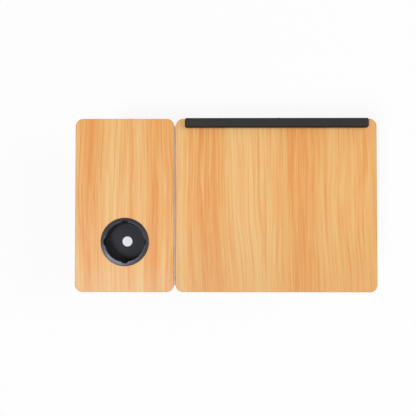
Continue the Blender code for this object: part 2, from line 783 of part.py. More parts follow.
def add_hinge_pin(name, x, row_sign):
    """The pin of one leg hinge. Its free end runs in the fold button."""
    station = row_sign * STATION_Y
    head_face = station - row_sign * (CHEEK_OUTER + SEAT_GAP)
    tip = station + row_sign * (BUTTON_TOP - BUTTON_CAP - BUTTON_TRAVEL - SEAT_GAP)
    head = rod(
        (x, head_face - row_sign * PIN_HEAD_THICKNESS, PIVOT_Z),
        (x, head_face, PIVOT_Z),
        HINGE_PIN_RADIUS + PIN_HEAD_OVERHANG,
        SMALL_SIDES,
    )
    shank = rod(
        (x, head_face - row_sign * PIN_HEAD_THICKNESS / 2, PIVOT_Z),
        (x, tip, PIVOT_Z),
        HINGE_PIN_RADIUS,
        SMALL_SIDES,
    )
    part(join(head, shank), name, "zinc plated steel")


def add_fold_button(name, x, row_sign):
    """The button that frees a leg hinge, hollow so that it runs on the hinge pin."""
    station = row_sign * STATION_Y
    foot, top = station + row_sign * BUTTON_FOOT, station + row_sign * BUTTON_TOP
    body = axis_empty(f"{name}_axis", (x, foot, PIVOT_Z))
    button = rod((x, foot, PIVOT_Z), (x, top, PIVOT_Z), BUTTON_RADIUS)
    bore = rod(
        (x, foot - row_sign * OVERRUN, PIVOT_Z),
        (x, top - row_sign * BUTTON_CAP, PIVOT_Z),
        PIN_BORE_RADIUS,
        SMALL_SIDES,
    )
    part(cut(button, bore), name, "grey plastic", body)


def add_fold_spring(name, x, row_sign):
    """The spring that pushes a fold button out, drawn as a plain sleeve inside the knuckle."""
    station = row_sign * STATION_Y
    seat = station + row_sign * (SPRING_SEAT + SEAT_GAP)
    spring = open_tube(
        (x, seat, PIVOT_Z),
        (x, station + row_sign * (BUTTON_FOOT - SEAT_GAP), PIVOT_Z),
        PIN_BORE_RADIUS + SPRING_WALL,
        SPRING_WALL,
        SMALL_SIDES,
    )
    part(spring, name, "zinc plated steel")


def add_knuckle(name, x, row_sign, leg):
    """The hinge block at the top of a leg: a barrel, a socket for the tube and a boss for the brace."""
    station = row_sign * STATION_Y
    half = KNUCKLE_HALF_WIDTH
    knuckle = rod((x, station - half, PIVOT_Z), (x, station + half, PIVOT_Z), BARREL_RADIUS)
    socket = rod((x, station, PIVOT_Z), (x, station, PIVOT_Z - SOCKET_LENGTH), SOCKET_RADIUS)
    boss_end = station - row_sign * (SOCKET_RADIUS + BRACE_BOSS_REACH)
    brace_z = PIVOT_Z - BRACE_DROP
    brace_bore_radius = BRACE_DIAMETER / 2 + SEAT_GAP
    boss = rod(
        (x, station, brace_z), (x, boss_end, brace_z), brace_bore_radius + BRACE_BOSS_WALL
    )
    join(knuckle, socket, boss)
    tube_bore = rod(
        (x, station, PIVOT_Z - SOCKET_FLOOR),
        (x, station, PIVOT_Z - SOCKET_LENGTH - OVERRUN),
        SOCKET_BORE_RADIUS,
    )
    brace_bore = rod(
        (x, boss_end + row_sign * BRACE_SEAT_DEPTH, brace_z),
        (x, boss_end - row_sign * OVERRUN, brace_z),
        brace_bore_radius,
    )
    pin_bore = rod(
        (x, station - row_sign * (half + OVERRUN), PIVOT_Z),
        (x, station, PIVOT_Z),
        PIN_BORE_RADIUS,
        SMALL_SIDES,
    )
    button_bore = rod(
        (x, station + row_sign * SPRING_SEAT, PIVOT_Z),
        (x, station + row_sign * (half + OVERRUN), PIVOT_Z),
        BUTTON_BORE_RADIUS,
    )
    cut(knuckle, tube_bore, brace_bore, pin_bore, button_bore)
    part(knuckle, name, "black plastic", leg)


def add_upper_tube(name, x, row_sign, leg):
    """The outer tube of a leg."""
    station = row_sign * STATION_Y
    tube = open_tube(
        (x, station, UPPER_TUBE_BOTTOM), (x, station, UPPER_TUBE_TOP), UPPER_TUBE_RADIUS, TUBE_WALL
    )
    part(tube, name, "brushed aluminium", leg)


def add_brace(name, x, leg):
    """The cross tube that ties the two knuckles of a leg pair."""
    end = STATION_Y - SOCKET_RADIUS - BRACE_BOSS_REACH + BRACE_SEAT_DEPTH - SEAT_GAP
    z = PIVOT_Z - BRACE_DROP
    part(open_tube((x, -end, z), (x, end, z), BRACE_DIAMETER / 2, BRACE_WALL), name, "brushed aluminium", leg)


def add_clamp_collar(name, x, side_sign, row_sign, leg):
    """The collar at the foot of an upper tube, with ears for its lever on the outer side."""
    station = row_sign * STATION_Y
    top = COLLAR_BOTTOM + COLLAR_HEIGHT
    collar = rod((x, station, COLLAR_BOTTOM), (x, station, top), COLLAR_RADIUS)
    eye_x = x + side_sign * LEVER_PIVOT_REACH
    root_x = x + side_sign * LOWER_TUBE_RADIUS / 2
    ear_start = LEVER_WIDTH / 2 + SEAT_GAP
    outline = [(root_x, LEVER_PIVOT_Z + EAR_RADIUS), (root_x, LEVER_PIVOT_Z - EAR_RADIUS)]
    outline += [
        (eye_x + side_sign * offset[0], LEVER_PIVOT_Z + offset[1])
        for offset in arc((0, 0), EAR_RADIUS, -90, 90)
    ]
    for ear_sign in (-1, 1):
        near = station + ear_sign * ear_start
        join(collar, plate(outline, "Y", near, near + ear_sign * EAR_THICKNESS))
    tube_bore = rod((x, station, COLLAR_BOTTOM + COLLAR_LIP), (x, station, top + OVERRUN), SOCKET_BORE_RADIUS)
    lip_bore = rod(
        (x, station, COLLAR_BOTTOM - OVERRUN), (x, station, top), LOWER_TUBE_RADIUS + SEAT_GAP
    )
    reach = ear_start + EAR_THICKNESS + OVERRUN
    eye = rod(
        (eye_x, station - reach, LEVER_PIVOT_Z),
        (eye_x, station + reach, LEVER_PIVOT_Z),
        TRUNNION_RADIUS + SEAT_GAP,
        SMALL_SIDES,
    )
    part(cut(collar, tube_bore, lip_bore, eye), name, "black plastic", leg)


def lever_outline():
    """The clamp lever's side view: outward from its pivot, and up."""
    radius = LEVER_BARREL_RADIUS
    tip = LEVER_LENGTH
    bend = tip - 2 * radius
    outline = arc((0, 0), radius, 180, 450, ARC_STEPS * 2)
    outline += [
        (0, bend),
        (LEVER_TIP_FLARE + radius / 4, tip),
        (LEVER_TIP_FLARE - radius / 2, tip + radius / 4),
        (-radius, bend + radius / 2),
    ]
    return outline


def add_clamp_lever(name, x, side_sign, row_sign, leg):
    """The flip lever that tightens a collar, with a trunnion moulded on each side."""
    station = row_sign * STATION_Y
    pivot_x = x + side_sign * LEVER_PIVOT_REACH
    body = axis_empty(f"{name}_axis", (pivot_x, station, LEVER_PIVOT_Z), leg)
    outline = [(pivot_x + side_sign * out, LEVER_PIVOT_Z + up) for out, up in lever_outline()]
    lever = plate(outline, "Y", station - LEVER_WIDTH / 2, station + LEVER_WIDTH / 2)
    reach = LEVER_WIDTH / 2 + EAR_THICKNESS
    trunnion = rod(
        (pivot_x, station - reach, LEVER_PIVOT_Z),
        (pivot_x, station + reach, LEVER_PIVOT_Z),
        TRUNNION_RADIUS,
        SMALL_SIDES,
    )
    part(join(lever, trunnion), name, "grey plastic", body)


def foot_frame_path(x, overrun):
    """The centre line of the U of tube that makes a leg pair's lower legs and foot bar."""
    inner = STATION_Y - FOOT_BEND_RADIUS
    bend_z = FOOT_BAR_Z + FOOT_BEND_RADIUS
    top = LOWER_TUBE_TOP + overrun
    points = [(STATION_Y, top)]
    points += arc((inner, bend_z), FOOT_BEND_RADIUS, 0, -90)
    points += arc((-inner, bend_z), FOOT_BEND_RADIUS, -90, -180)
    points += [(-STATION_Y, top)]
    return [(x, y, z) for y, z in points]


def add_foot_frame(name, x, lower):
    """The bent tube that slides in both upper tubes of a leg pair."""
    frame = pipe(foot_frame_path(x, 0), LOWER_TUBE_RADIUS)
    bore = pipe(foot_frame_path(x, OVERRUN), LOWER_TUBE_RADIUS - TUBE_WALL)
    part(cut(frame, bore), name, "brushed aluminium", lower)


def add_foot_pad(name, x, row_sign, lower):
    """A rubber shoe round the foot bar, flat underneath."""
    outer = STATION_Y - FOOT_BEND_RADIUS - FOOT_PAD_BEND_GAP
    ends = (row_sign * (outer - FOOT_PAD_LENGTH), row_sign * outer)
    bore_radius = LOWER_TUBE_RADIUS + SEAT_GAP
    radius = bore_radius + FOOT_PAD_WALL
    corner = FOOT_PAD_CORNER_RADIUS
    outline = arc((x, FOOT_BAR_Z), radius, 0, 180, ARC_STEPS * 2)
    outline += arc((x - radius + corner, corner), corner, 180, 270, 2)
    outline += arc((x + radius - corner, corner), corner, 270, 360, 2)
    pad = plate(outline, "Y", *ends)
    bore = rod(
        (x, ends[0] - row_sign * OVERRUN, FOOT_BAR_Z),
        (x, ends[1] + row_sign * OVERRUN, FOOT_BAR_Z),
        bore_radius,
    )
    part(cut(pad, bore), name, "rubber", lower)


def add_leg_pair(side, side_sign):
    """One folding pair of legs with everything on its two hinges."""
    x = side_sign * BEAM_X
    leg = axis_empty(f"{side}_leg_fold_axis", (x, 0, PIVOT_Z))
    lower = axis_empty(f"{side}_leg_extend_axis", (x, 0, COLLAR_BOTTOM), leg)
    add_brace(f"{side}_leg_brace", x, leg)
    add_foot_frame(f"{side}_foot_frame", x, lower)
    for row, row_sign in ROWS.items():
        add_hinge_pin(f"{side}_{row}_hinge_pin", x, row_sign)
        add_fold_button(f"{side}_{row}_fold_button", x, row_sign)
        add_fold_spring(f"{side}_{row}_fold_spring", x, row_sign)
        add_knuckle(f"{side}_{row}_knuckle", x, row_sign, leg)
        add_upper_tube(f"{side}_{row}_upper_tube", x, row_sign, leg)
        add_clamp_collar(f"{side}_{row}_clamp_collar", x, side_sign, row_sign, leg)
        add_clamp_lever(f"{side}_{row}_clamp_lever", x, side_sign, row_sign, leg)
        add_foot_pad(f"{side}_{row}_foot_pad", x, row_sign, lower)


def main():
    clear_scene()
    new_collection("folding_laptop_table")
    new_collection("cutters")
    tray = axis_empty("tray_tilt_axis", (0, RAIL_Y, RAIL_Z))
    prop = axis_empty("prop_swing_axis", (0, PROP_PIVOT_Y, RAIL_Z), tray)
    add_side_board()
    add_cup_holder()
    add_rails()
    add_centre_beam()
    add_notch_rails()
    add_main_board(tray)
    add_stopper(tray)
    add_saddles(tray)
    add_prop_brackets(tray)
    add_prop(prop)
    for side, side_sign in SIDES.items():
        add_end_beam(side, side_sign)
        add_leg_pair(side, side_sign)


main()
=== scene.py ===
"""Dresses the folding laptop table: laminate boards, cup holder, stopper bar, tube frame, tilt prop and
two folding leg pairs. Metres, +Z up, +Y towards the user, origin on the floor under the top's middle."""

import logging
import math
from dataclasses import dataclass, field, replace
from enum import Enum
from typing import Callable, Iterable, Sequence

import bmesh
import bpy
from mathutils import Matrix, Vector


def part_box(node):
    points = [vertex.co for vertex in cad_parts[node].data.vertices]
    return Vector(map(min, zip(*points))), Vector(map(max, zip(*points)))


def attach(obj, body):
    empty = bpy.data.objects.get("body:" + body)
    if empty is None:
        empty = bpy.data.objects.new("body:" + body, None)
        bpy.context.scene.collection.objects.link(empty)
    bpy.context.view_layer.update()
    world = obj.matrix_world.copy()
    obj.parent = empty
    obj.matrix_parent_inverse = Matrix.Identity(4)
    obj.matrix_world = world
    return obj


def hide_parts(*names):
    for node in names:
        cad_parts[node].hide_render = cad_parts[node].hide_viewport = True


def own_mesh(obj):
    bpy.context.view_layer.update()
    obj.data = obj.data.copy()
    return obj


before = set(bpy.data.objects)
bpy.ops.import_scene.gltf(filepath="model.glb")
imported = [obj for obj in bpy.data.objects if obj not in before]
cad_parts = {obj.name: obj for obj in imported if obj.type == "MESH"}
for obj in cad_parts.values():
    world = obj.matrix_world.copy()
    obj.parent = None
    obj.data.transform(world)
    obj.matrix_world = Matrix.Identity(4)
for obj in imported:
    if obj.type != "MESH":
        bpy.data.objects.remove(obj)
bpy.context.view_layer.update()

Face = bmesh.types.BMFace
Shape = bmesh.types.BMesh
Socket = bpy.types.NodeSocket
Coords = Sequence[float]
Pair = tuple[float, float]
Vec3 = tuple[float, float, float]
Box = tuple[Vec3, Vec3]
Outline = Sequence[Pair]
Points = list[Pair]

LOG = logging.getLogger("laptop_table")
WHITE = (1.0, 1.0, 1.0)
DOWN = Vector((0, 0, -1))
QUARTER = math.tau / 4
WELD = 1e-6  # points closer than this are one
EASE = 0.0005  # the usual rounding of a moulded edge
RAIL_Y, RAIL_Z = 0.150, 0.2205  # the front rail's middle
STATION, PIVOT_Z = 0.125, 0.1985  # a front leg's Y, and the height of its hinge
PIN_HOLE, BUTTON_HOLE = 0.0033, 0.0073  # radii of the hinge's two holes


class Axis(Enum):
    """A direction of the table's frame, by its place in a point."""

    X = 0
    Y = 1
    Z = 2

    def point(self, along: float, first: float = 0.0, second: float = 0.0) -> Vector:
        """A point at a distance along this axis, with its other two coordinates in alphabetical order."""
        return Vector((first, second)[:self.value] + (along,) + (first, second)[self.value:])


class End(Enum):
    """A named end of the table, with its sign along an axis."""

    @property
    def label(self) -> str:
        """Its name in the CAD."""
        return self.value[0]

    @property
    def sign(self) -> int:
        """Its sign along the axis."""
        return self.value[1]


class Side(End):
    """The ends along X."""

    LEFT = ("left", -1)
    RIGHT = ("right", 1)


class Row(End):
    """The rows of legs along Y."""

    FRONT = ("front", 1)
    REAR = ("rear", -1)


# Finishes


@dataclass(frozen=True)
class Noise:
    """A noise: its cells per metre on every axis or on each, its octaves and how strong the finer ones are,
    the part of it that is used, and whether it is made of flat cells."""

    cells: float | Vec3
    detail: float = 2.0
    roughness: float = 0.5
    seed: float = 0.0
    spangled: bool = False


class Graph:
    """A node tree, with short calls that wire it."""

    def __init__(self, tree: bpy.types.NodeTree) -> None:
        """Takes a material's or a world's tree."""
        self.nodes, self.links = tree.nodes, tree.links

    def wire(self, node: bpy.types.Node, **inputs: object) -> None:
        """Wires or sets a node's inputs.

        Args:
            node: the node.
            inputs: socket names with underscores for spaces, or i0, i1 for a socket's number.
        """
        for key, value in inputs.items():
            socket = node.inputs[int(key[1:]) if key[1:].isdigit() else key.replace("_", " ")]
            if isinstance(value, Socket):
                self.links.new(value, socket)
            else:
                socket.default_value = (*value, 1.0) if socket.type == "RGBA" else value

    def add(self, kind: str, output: int | str = 0, settings: dict[str, str] | None = None,
            **inputs: object) -> Socket | None:
        """Adds a node.

        Args:
            kind: the node's type, without its ShaderNode prefix.
            output: the output that is wanted.
            settings: the node's own properties.
            inputs: what its inputs take, named as in wire.

        Returns:
            The output, or nothing from a tree's last node.
        """
        node = self.nodes.new("ShaderNode" + kind)
        for key, value in (settings or {}).items():
            setattr(node, key, value)
        self.wire(node, **inputs)
        return node.outputs[output] if node.outputs else None

    def noise(self, noise: Noise, place: Socket | None = None, shift: float = 0.0) -> Socket:
        """Lays a noise over object coordinates.

        Args:
            noise: the noise.
            place: what it is laid over instead.
            shift: how many cells it is moved along X.

        Returns:
            Its value.
        """
        cells = noise.cells if isinstance(noise.cells, tuple) else (noise.cells,) * 3
        place = self.add("Mapping", Vector=place or self.add("TexCoord", "Object"), Scale=cells,
                         Location=(shift, noise.seed, 0))
        if noise.spangled:
            return self.add("SeparateColor", Color=self.add("TexVoronoi", "Color", Vector=place, Scale=1.0))
        return self.add("TexNoise", Vector=place, Scale=1.0, Detail=noise.detail, Roughness=noise.roughness)

    def math(self, operation: str, *values: Socket | float) -> Socket:
        """The result of a sum on one to three values."""
        inputs = {f"i{index}": value for index, value in enumerate(values)}
        return self.add("Math", 0, {"operation": operation}, **inputs)

    def spread(self, value: Socket, low: float, high: float, to_low: float = 0.0, to_high: float = 1.0,
               kind: str = "SMOOTHSTEP") -> Socket:
        """A value's range moved onto another."""
        return self.add("MapRange", 0, {"interpolation_type": kind}, Value=value, i1=low, i2=high,
                        i3=to_low, i4=to_high)

    def ramp(self, value: Socket, stops: Iterable[tuple[float, Vec3]]) -> Socket:
        """A colour that follows a value.

        Args:
            value: the value.
            stops: values on the way, with their colours.

        Returns:
            The colour.
        """
        made = self.add("ValToRGB", Fac=value)
        elements = made.node.color_ramp.elements
        for index, (place, colour) in enumerate(stops):
            element = elements[index] if index < 2 else elements.new(place)
            element.position, element.color = place, (*colour, 1.0)
        return made

    def mix(self, factor: Socket, share: float, first: Socket, second: Vec3) -> Socket:
        """A colour with a second one laid on by a share of a factor."""
        amount = self.math("MULTIPLY", factor, share)
        return self.add("Mix", 2, {"data_type": "RGBA"}, i0=amount, i6=first, i7=second)

    def bump(self, height: Socket, distance: float, **under: Socket) -> Socket:
        """A relief for a shader's normal, on top of another one where it is given as Normal."""
        return self.add("Bump", Height=height, Strength=1.0, Distance=distance, **under)


def shade(colour: Vec3, factor: float) -> Vec3:
    """A colour made lighter or darker."""
    return tuple(channel * factor for channel in colour)


@dataclass(frozen=True)
class Finish:
    """A surface finish. It is made once and shared."""

    label: str

    def material(self) -> bpy.types.Material:
        """The finish's material.

        Returns:
            The material, made at its first use.
        """
        made = bpy.data.materials.get(self.label)
        if made is None:
            made = bpy.data.materials.new(self.label)
            made.use_nodes = True
            graph = Graph(made.node_tree)
            graph.wire(graph.nodes["Principled BSDF"], **self.inputs(graph))
        return made

    def inputs(self, graph: Graph) -> dict[str, object]:
        """What the inputs of the material's shader take, with underscores for spaces in their names."""
        raise NotImplementedError


@dataclass(frozen=True)
class GrainBand:
    """A broad streak of the laminate's print, along the board's depth."""

    middle: float
    half_width: float
    depth: float

    def at(self, x: float) -> float:
        """How much the streak darkens the board at an X."""
        return self.depth * math.exp(-(((x - self.middle) / self.half_width) ** 4))


@dataclass(frozen=True)
class Streaks:
    """A layer of fine streaks in the laminate's print: its noise, how much it darkens, and for hairlines
    the noise's range in which a line sets in."""

    noise: Noise
    share: float
    onset: Pair | None = None


@dataclass(frozen=True)
class Laminate(Finish):
    """Beech-look laminate: broad bands along Y, growth rings, fine streaks, pores and a satin face.

    The print wanders by sway, and its streaks fan out by fan over fan_reach, towards the rear. Over the
    reach of the painted light, towards the rear edge, a paler painted sheen is laid on the side board and a
    darker painted shade on the main board. The first two ring_noises bend the rings, and the last one
    shows and hides them.
    """

    left: float
    right: float
    bands: tuple[GrainBand, ...]
    base: float
    sway: float
    shift: float
    painted_light: Vec3
    painted_light_depth: float
    painted_light_reach: Pair
    fan: float = 0.0
    fan_width: float = 0.24
    fan_reach: Pair = (-0.005, -0.205)
    drift: Noise = Noise((7.0, 3.2, 1.0))
    samples: int = 32
    rings: float = 0.42
    ring_count: float = 85.0
    ring_bend: Pair = (6.0, 0.8)
    ring_noises: tuple[Noise, Noise, Noise] = (Noise((14.0, 0.8, 1.0), 1.0, seed=31), Noise(
        (70.0, 5.0, 1.0), 1.0, seed=37), Noise((11.0, 2.0, 1.0), 1.0, seed=41))
    ring_onset: Pair = (0.35, 0.65)
    pores: Noise = Noise((900.0, 45.0, 1.0), 1.0)
    pore_onset: Pair = (0.64, 0.80)
    pore_share: float = 0.10
    relief: Noise = Noise(700.0, 1.0)
    gloss: tuple[float, float, float, float] = (0.2, 0.8, 0.40, 0.52)
    shine: float = 0.33
    tones: tuple[Vec3, Vec3, Vec3] = ((0.885, 0.562, 0.222), (0.860, 0.436, 0.138), (0.800, 0.305, 0.070))
    lines: Noise = Noise((260.0, 5.5, 1.0), 3.0, 0.75, 7)
    streaks: tuple[Streaks, ...] = (
        Streaks(Noise((58.0, 2.2, 1.0), 3.0, 0.6, 3), 0.7),
        Streaks(Noise((130.0, 4.5, 1.0), 2.0, 0.6, 3), 0.7),
        Streaks(lines, 1.4),
        Streaks(Noise((430.0, 5.0, 1.0), 1.0, 0.5, 13), 0.40, (0.56, 0.70)),
        Streaks(Noise((390.0, 6.0, 1.0), 1.0, 0.5, 23), -0.34, (0.58, 0.72)))

    def broad(self, graph: Graph, across: Socket) -> Socket:
        """The bands.

        Args:
            graph: the material's graph.
            across: the X on the print.

        Returns:
            How dark they are.
        """
        stops = []
        for place in (index / (self.samples - 1) for index in range(self.samples)):
            x = self.left + (self.right - self.left) * place
            level = max(0.0, min(1.0, self.base + sum(band.at(x) for band in self.bands)))
            stops.append((place, (level,) * 3))
        return graph.ramp(graph.spread(across, self.left, self.right, kind="LINEAR"), stops)

    def growth(self, graph: Graph, across: Socket, flow: Socket) -> Socket:
        """The growth rings, which come and go.

        Args:
            graph: the material's graph.
            across: the X on the print.
            flow: the place on the print.

        Returns:
            How much they darken it, from minus to plus one half.
        """
        wide, fine, shown = (graph.noise(noise, flow, self.shift) for noise in self.ring_noises)
        wide = graph.math("MULTIPLY", wide, self.ring_bend[0])
        count = graph.math("MULTIPLY_ADD", across, self.ring_count, wide)
        rings = graph.math("FRACT", graph.math("MULTIPLY_ADD", fine, self.ring_bend[1], count))
        strength = graph.spread(shown, *self.ring_onset)
        return graph.math("MULTIPLY", graph.math("SUBTRACT", rings, 0.5), strength)

    def inputs(self, graph: Graph) -> dict[str, object]:
        """Wires the print, its pores and its sheen.

        Args:
            graph: the material's graph.

        Returns:
            The shader's inputs.
        """
        place = graph.add("TexCoord", "Object")
        x = graph.add("SeparateXYZ", "X", Vector=place)
        y = x.node.outputs["Y"]
        wave = graph.math("COSINE", graph.math("MULTIPLY", x, math.tau / self.fan_width))
        lean = graph.math("MULTIPLY", graph.spread(y, *self.fan_reach, 0.0, -self.fan),
                          graph.math("MULTIPLY_ADD", wave, 0.5, 0.5))
        drift = graph.math("SUBTRACT", graph.noise(self.drift, shift=self.shift), 0.5)
        bend = graph.math("MULTIPLY_ADD", drift, self.sway * 4, lean)
        bent = graph.add("CombineXYZ", X=bend)
        flow = graph.add("VectorMath", 0, {"operation": "ADD"}, i0=place, i1=bent)
        across = graph.math("ADD", x, bend)
        rings = self.growth(graph, across, flow)
        level = graph.math("MULTIPLY_ADD", rings, self.rings, self.broad(graph, across))
        for layer in self.streaks:
            value = graph.noise(layer.noise, flow, self.shift)
            value = graph.spread(value, *layer.onset) if layer.onset else graph.math("SUBTRACT", value, 0.5)
            level = graph.math("MULTIPLY_ADD", value, layer.share, level)
        pores = graph.spread(graph.noise(self.pores), *self.pore_onset)
        colour = graph.ramp(level, zip((0.0, 0.5, 1.0), self.tones))
        colour = graph.mix(pores, self.pore_share, colour, shade(self.tones[2], 0.7))
        # painted light: towards the rear edge, a paler painted sheen on the side board and a darker painted
        # shade on the main board
        colour = graph.mix(graph.spread(y, *self.painted_light_reach), self.painted_light_depth, colour, self.painted_light)
        gloss = graph.spread(graph.noise(self.lines, flow, self.shift), *self.gloss)
        relief = graph.bump(graph.noise(self.relief), 0.00001, Normal=graph.bump(pores, -0.00002))
        return {"Base_Color": colour, "Roughness": gloss, "Specular_IOR_Level": self.shine,
                "Normal": relief}


@dataclass(frozen=True)
class Patches:
    """Patches of a lighter or darker tone: the noise that they follow, or none for a shape's edges, the
    range over which they set in, how strong they are, their tone, and how much they roughen."""

    noise: Noise | None
    onset: Pair
    share: float
    factor: float
    roughening: float = 0.0


@dataclass(frozen=True)
class Skin(Finish):
    """A plain finish. Its tone and gloss drift, and a fine relief breaks up its sheen.

    tones gives the colour's factor at two values of the tone's noise. gloss gives a range of the cloud's
    noise and the roughness at both of its ends, to which the tone adds its share. The cloud also lays on a
    veil of another colour.
    """

    colour: Vec3
    tone: Noise
    tones: tuple[Pair, Pair]
    cloud: Noise
    gloss: tuple[float, float, float, float]
    relief: Noise
    depth: float
    veil: float = 0.0
    veil_colour: Vec3 = WHITE
    metallic: float = 0.0
    coat: float = 0.0
    shine: float = 0.5
    tint: Vec3 = WHITE
    tone_share: float = 0.0
    patches: Patches | None = None

    def inputs(self, graph: Graph) -> dict[str, object]:
        """Wires the tone, the gloss and the relief.

        Args:
            graph: the material's graph.

        Returns:
            The shader's inputs.
        """
        tone, cloud = graph.noise(self.tone), graph.noise(self.cloud)
        colour = graph.ramp(tone, [(place, shade(self.colour, factor)) for place, factor in self.tones])
        gloss = graph.math("MULTIPLY_ADD", tone, self.tone_share, graph.spread(cloud, *self.gloss))
        if self.veil:
            colour = graph.mix(cloud, self.veil, colour, self.veil_colour)
        if self.patches:
            noise = self.patches.noise
            mask = graph.noise(noise) if noise else graph.add("NewGeometry", "Pointiness")
            mask = graph.spread(mask, *self.patches.onset)
            colour = graph.mix(mask, self.patches.share, colour, shade(self.colour, self.patches.factor))
            gloss = graph.math("MULTIPLY_ADD", mask, self.patches.roughening, gloss)
        return {"Base_Color": colour, "Roughness": gloss, "Metallic": self.metallic,
                "Coat_Weight": self.coat, "Coat_Roughness": 0.25, "Specular_IOR_Level": self.shine,
                "Specular_Tint": self.tint, "Normal": graph.bump(graph.noise(self.relief), self.depth)}


def plastic(label: str, colour: Vec3, roughness: float, grain: float = 1500.0, depth: float = 0.00002,
            shine: float = 0.5, tint: Vec3 = WHITE) -> Skin:
    """Injection-moulded plastic with a fine spark-eroded grain and slightly polished edges."""
    cloud, gloss = Noise(26.0, 3.0), (0.25, 0.75, roughness - 0.05, roughness + 0.07)
    return Skin(label, colour, cloud, ((0.3, 0.85), (0.7, 1.2)), cloud, gloss, Noise(grain, 2.0, 0.6),
                depth, shine=shine, tint=tint, patches=Patches(None, (0.515, 0.60), 0.5, 1.8, -0.08))


SIDE_LAMINATE = Laminate(
    "side board laminate", left=-0.30, right=-0.10, base=0.46, sway=0.007, rings=0.3, shift=11.3,
    # painted sheen: a paler, washed tone is laid on towards the rear edge, where the key lamp's sheen falls
    painted_light=(0.800, 0.520, 0.300), painted_light_depth=0.3, painted_light_reach=(-0.100, -0.165),
    bands=(GrainBand(-0.276, 0.026, 0.18), GrainBand(-0.224, 0.024, -0.24), GrainBand(-0.195, 0.007, 0.08),
           GrainBand(-0.172, 0.011, -0.32), GrainBand(-0.147, 0.010, 0.38), GrainBand(-0.128, 0.012, 0.10),
           GrainBand(-0.108, 0.010, 0.22)))
MAIN_LAMINATE = Laminate(
    "main board laminate", left=-0.10, right=0.30, base=0.46, sway=0.005, fan=0.012, shift=4.7,
    # painted shade: the board is laid darker towards the rear edge, standing in for a fall of light
    painted_light=(0.660, 0.350, 0.115), painted_light_depth=0.28, painted_light_reach=(0.060, -0.190),
    bands=(GrainBand(-0.092, 0.012, -0.20), GrainBand(-0.034, 0.029, 0.26), GrainBand(0.026, 0.027, -0.27),
           GrainBand(0.070, 0.022, -0.17), GrainBand(0.145, 0.031, 0.30), GrainBand(0.200, 0.009, 0.06),
           GrainBand(0.215, 0.009, -0.14)))
EDGE_STREAKS, FIBRES = Noise((9.0, 9.0, 900.0), 2.0, 0.6), Noise((420.0, 60.0, 60.0), 3.0, 0.65)
DRAW_LINES = Noise((1400.0, 1400.0, 15.0), 3.0, 0.7)
LEVEL_LINES = replace(DRAW_LINES, cells=(1400.0, 15.0, 1400.0))
ROLLED, DUST = Noise((60.0, 60.0, 700.0)), Noise(55.0, 4.0, 0.65)
SCUFFS = Patches(Noise((90.0, 260.0, 140.0), 4.0, 0.7), (0.62, 0.75), 0.25, 0.75)
EDGE_BAND = Skin("board edge band", (0.80, 0.40, 0.145), EDGE_STREAKS, ((0.25, 1.10), (0.75, 0.82)),
                 EDGE_STREAKS, (0.2, 0.8, 0.38, 0.48), EDGE_STREAKS, 0.00002)
BACKING = Skin("board backing sheet", (0.60, 0.47, 0.33), FIBRES, ((0.3, 1.07), (0.7, 0.90)), Noise(14.0),
               (0.2, 0.8, 0.55, 0.68), FIBRES, 0.00003, 0.25, (0.552, 0.4324, 0.3036))
BLACK_PLASTIC = plastic("black moulded plastic", (0.012, 0.012, 0.013), 0.42)
CUP_FLANGE = plastic("cup holder satin flange", (0.006, 0.006, 0.008), 0.34, 900.0, 0.00001, 0.52,
                     (0.84, 0.87, 1.0))
CUP_WELL = plastic("cup holder matt well", (0.032, 0.032, 0.038), 0.62, 1800.0, shine=0.14)
# painted shade: a darker, duller copy of the cup's plastic for the windows and the grooves under them
CUP_WINDOW_SHADE = plastic("cup holder dull windows", (0.009, 0.009, 0.010), 0.70, 1800.0, shine=0.06)
STOPPER_TOP = plastic("stopper top plastic", (0.0095, 0.0095, 0.0095), 0.50, 2200.0, 0.00003, 0.24)
# painted shade: a darker copy of the stopper's plastic for its chamfers and nub, to darken its outline
STOPPER_EDGE_SHADE = plastic("stopper edge plastic", (0.007, 0.007, 0.008), 0.40, 2200.0, 0.00001, 0.22)
BEAM_GREY = plastic("centre beam grey plastic", (0.24, 0.23, 0.25), 0.5)
STRIP_GREY = plastic("gap strip grey", (0.60, 0.58, 0.56), 0.55)
GREY_PLASTIC = plastic("lever grey plastic", (0.10, 0.10, 0.11), 0.40)
POWDER = Skin("black powder coat", (0.014, 0.014, 0.015), Noise(3000.0, 1.0), ((0.35, 0.8), (0.70, 1.6)),
              Noise(20.0), (0.3, 0.7, 0.30, 0.42), Noise(650.0, 1.0), 0.00005, coat=0.15)
UPRIGHT_TUBE = Skin("anodised upright tube", (0.60, 0.61, 0.64), DRAW_LINES, ((0.25, 0.92), (0.75, 1.06)),
                    Noise(35.0, 3.0), (0.25, 0.75, 0.30, 0.38), DRAW_LINES, 0.00002, metallic=1.0,
                    tone_share=0.08, patches=SCUFFS)
LEVEL_TUBE = replace(UPRIGHT_TUBE, label="anodised level tube", tone=LEVEL_LINES, relief=LEVEL_LINES)
ZINC = Skin("zinc plate", (0.56, 0.57, 0.58), Noise(800.0, spangled=True), ((0.0, 0.96), (1.0, 1.04)),
            ROLLED, (0.2, 0.8, 0.30, 0.40), ROLLED, 0.00001, 0.2, (0.50, 0.50, 0.46), 1.0)
RUBBER = Skin("foot rubber", (0.010, 0.010, 0.010), DUST, ((0.35, 0.8), (0.75, 2.2)), DUST,
              (0.3, 0.7, 0.72, 0.88), Noise(1100.0, 2.0, 0.7), 0.00004, shine=0.35)
# painted shade: near-black bars stand for the screws' shaded cross recess
SCREW_RECESS_SHADE = replace(RUBBER, label="screw recess painted shade", colour=(0.008, 0.008, 0.008))
FOAM = replace(RUBBER, label="foam strip", colour=(0.020, 0.020, 0.021), relief=Noise(1800.0, 2.0, 0.7),
               depth=0.0001)


# Shapes


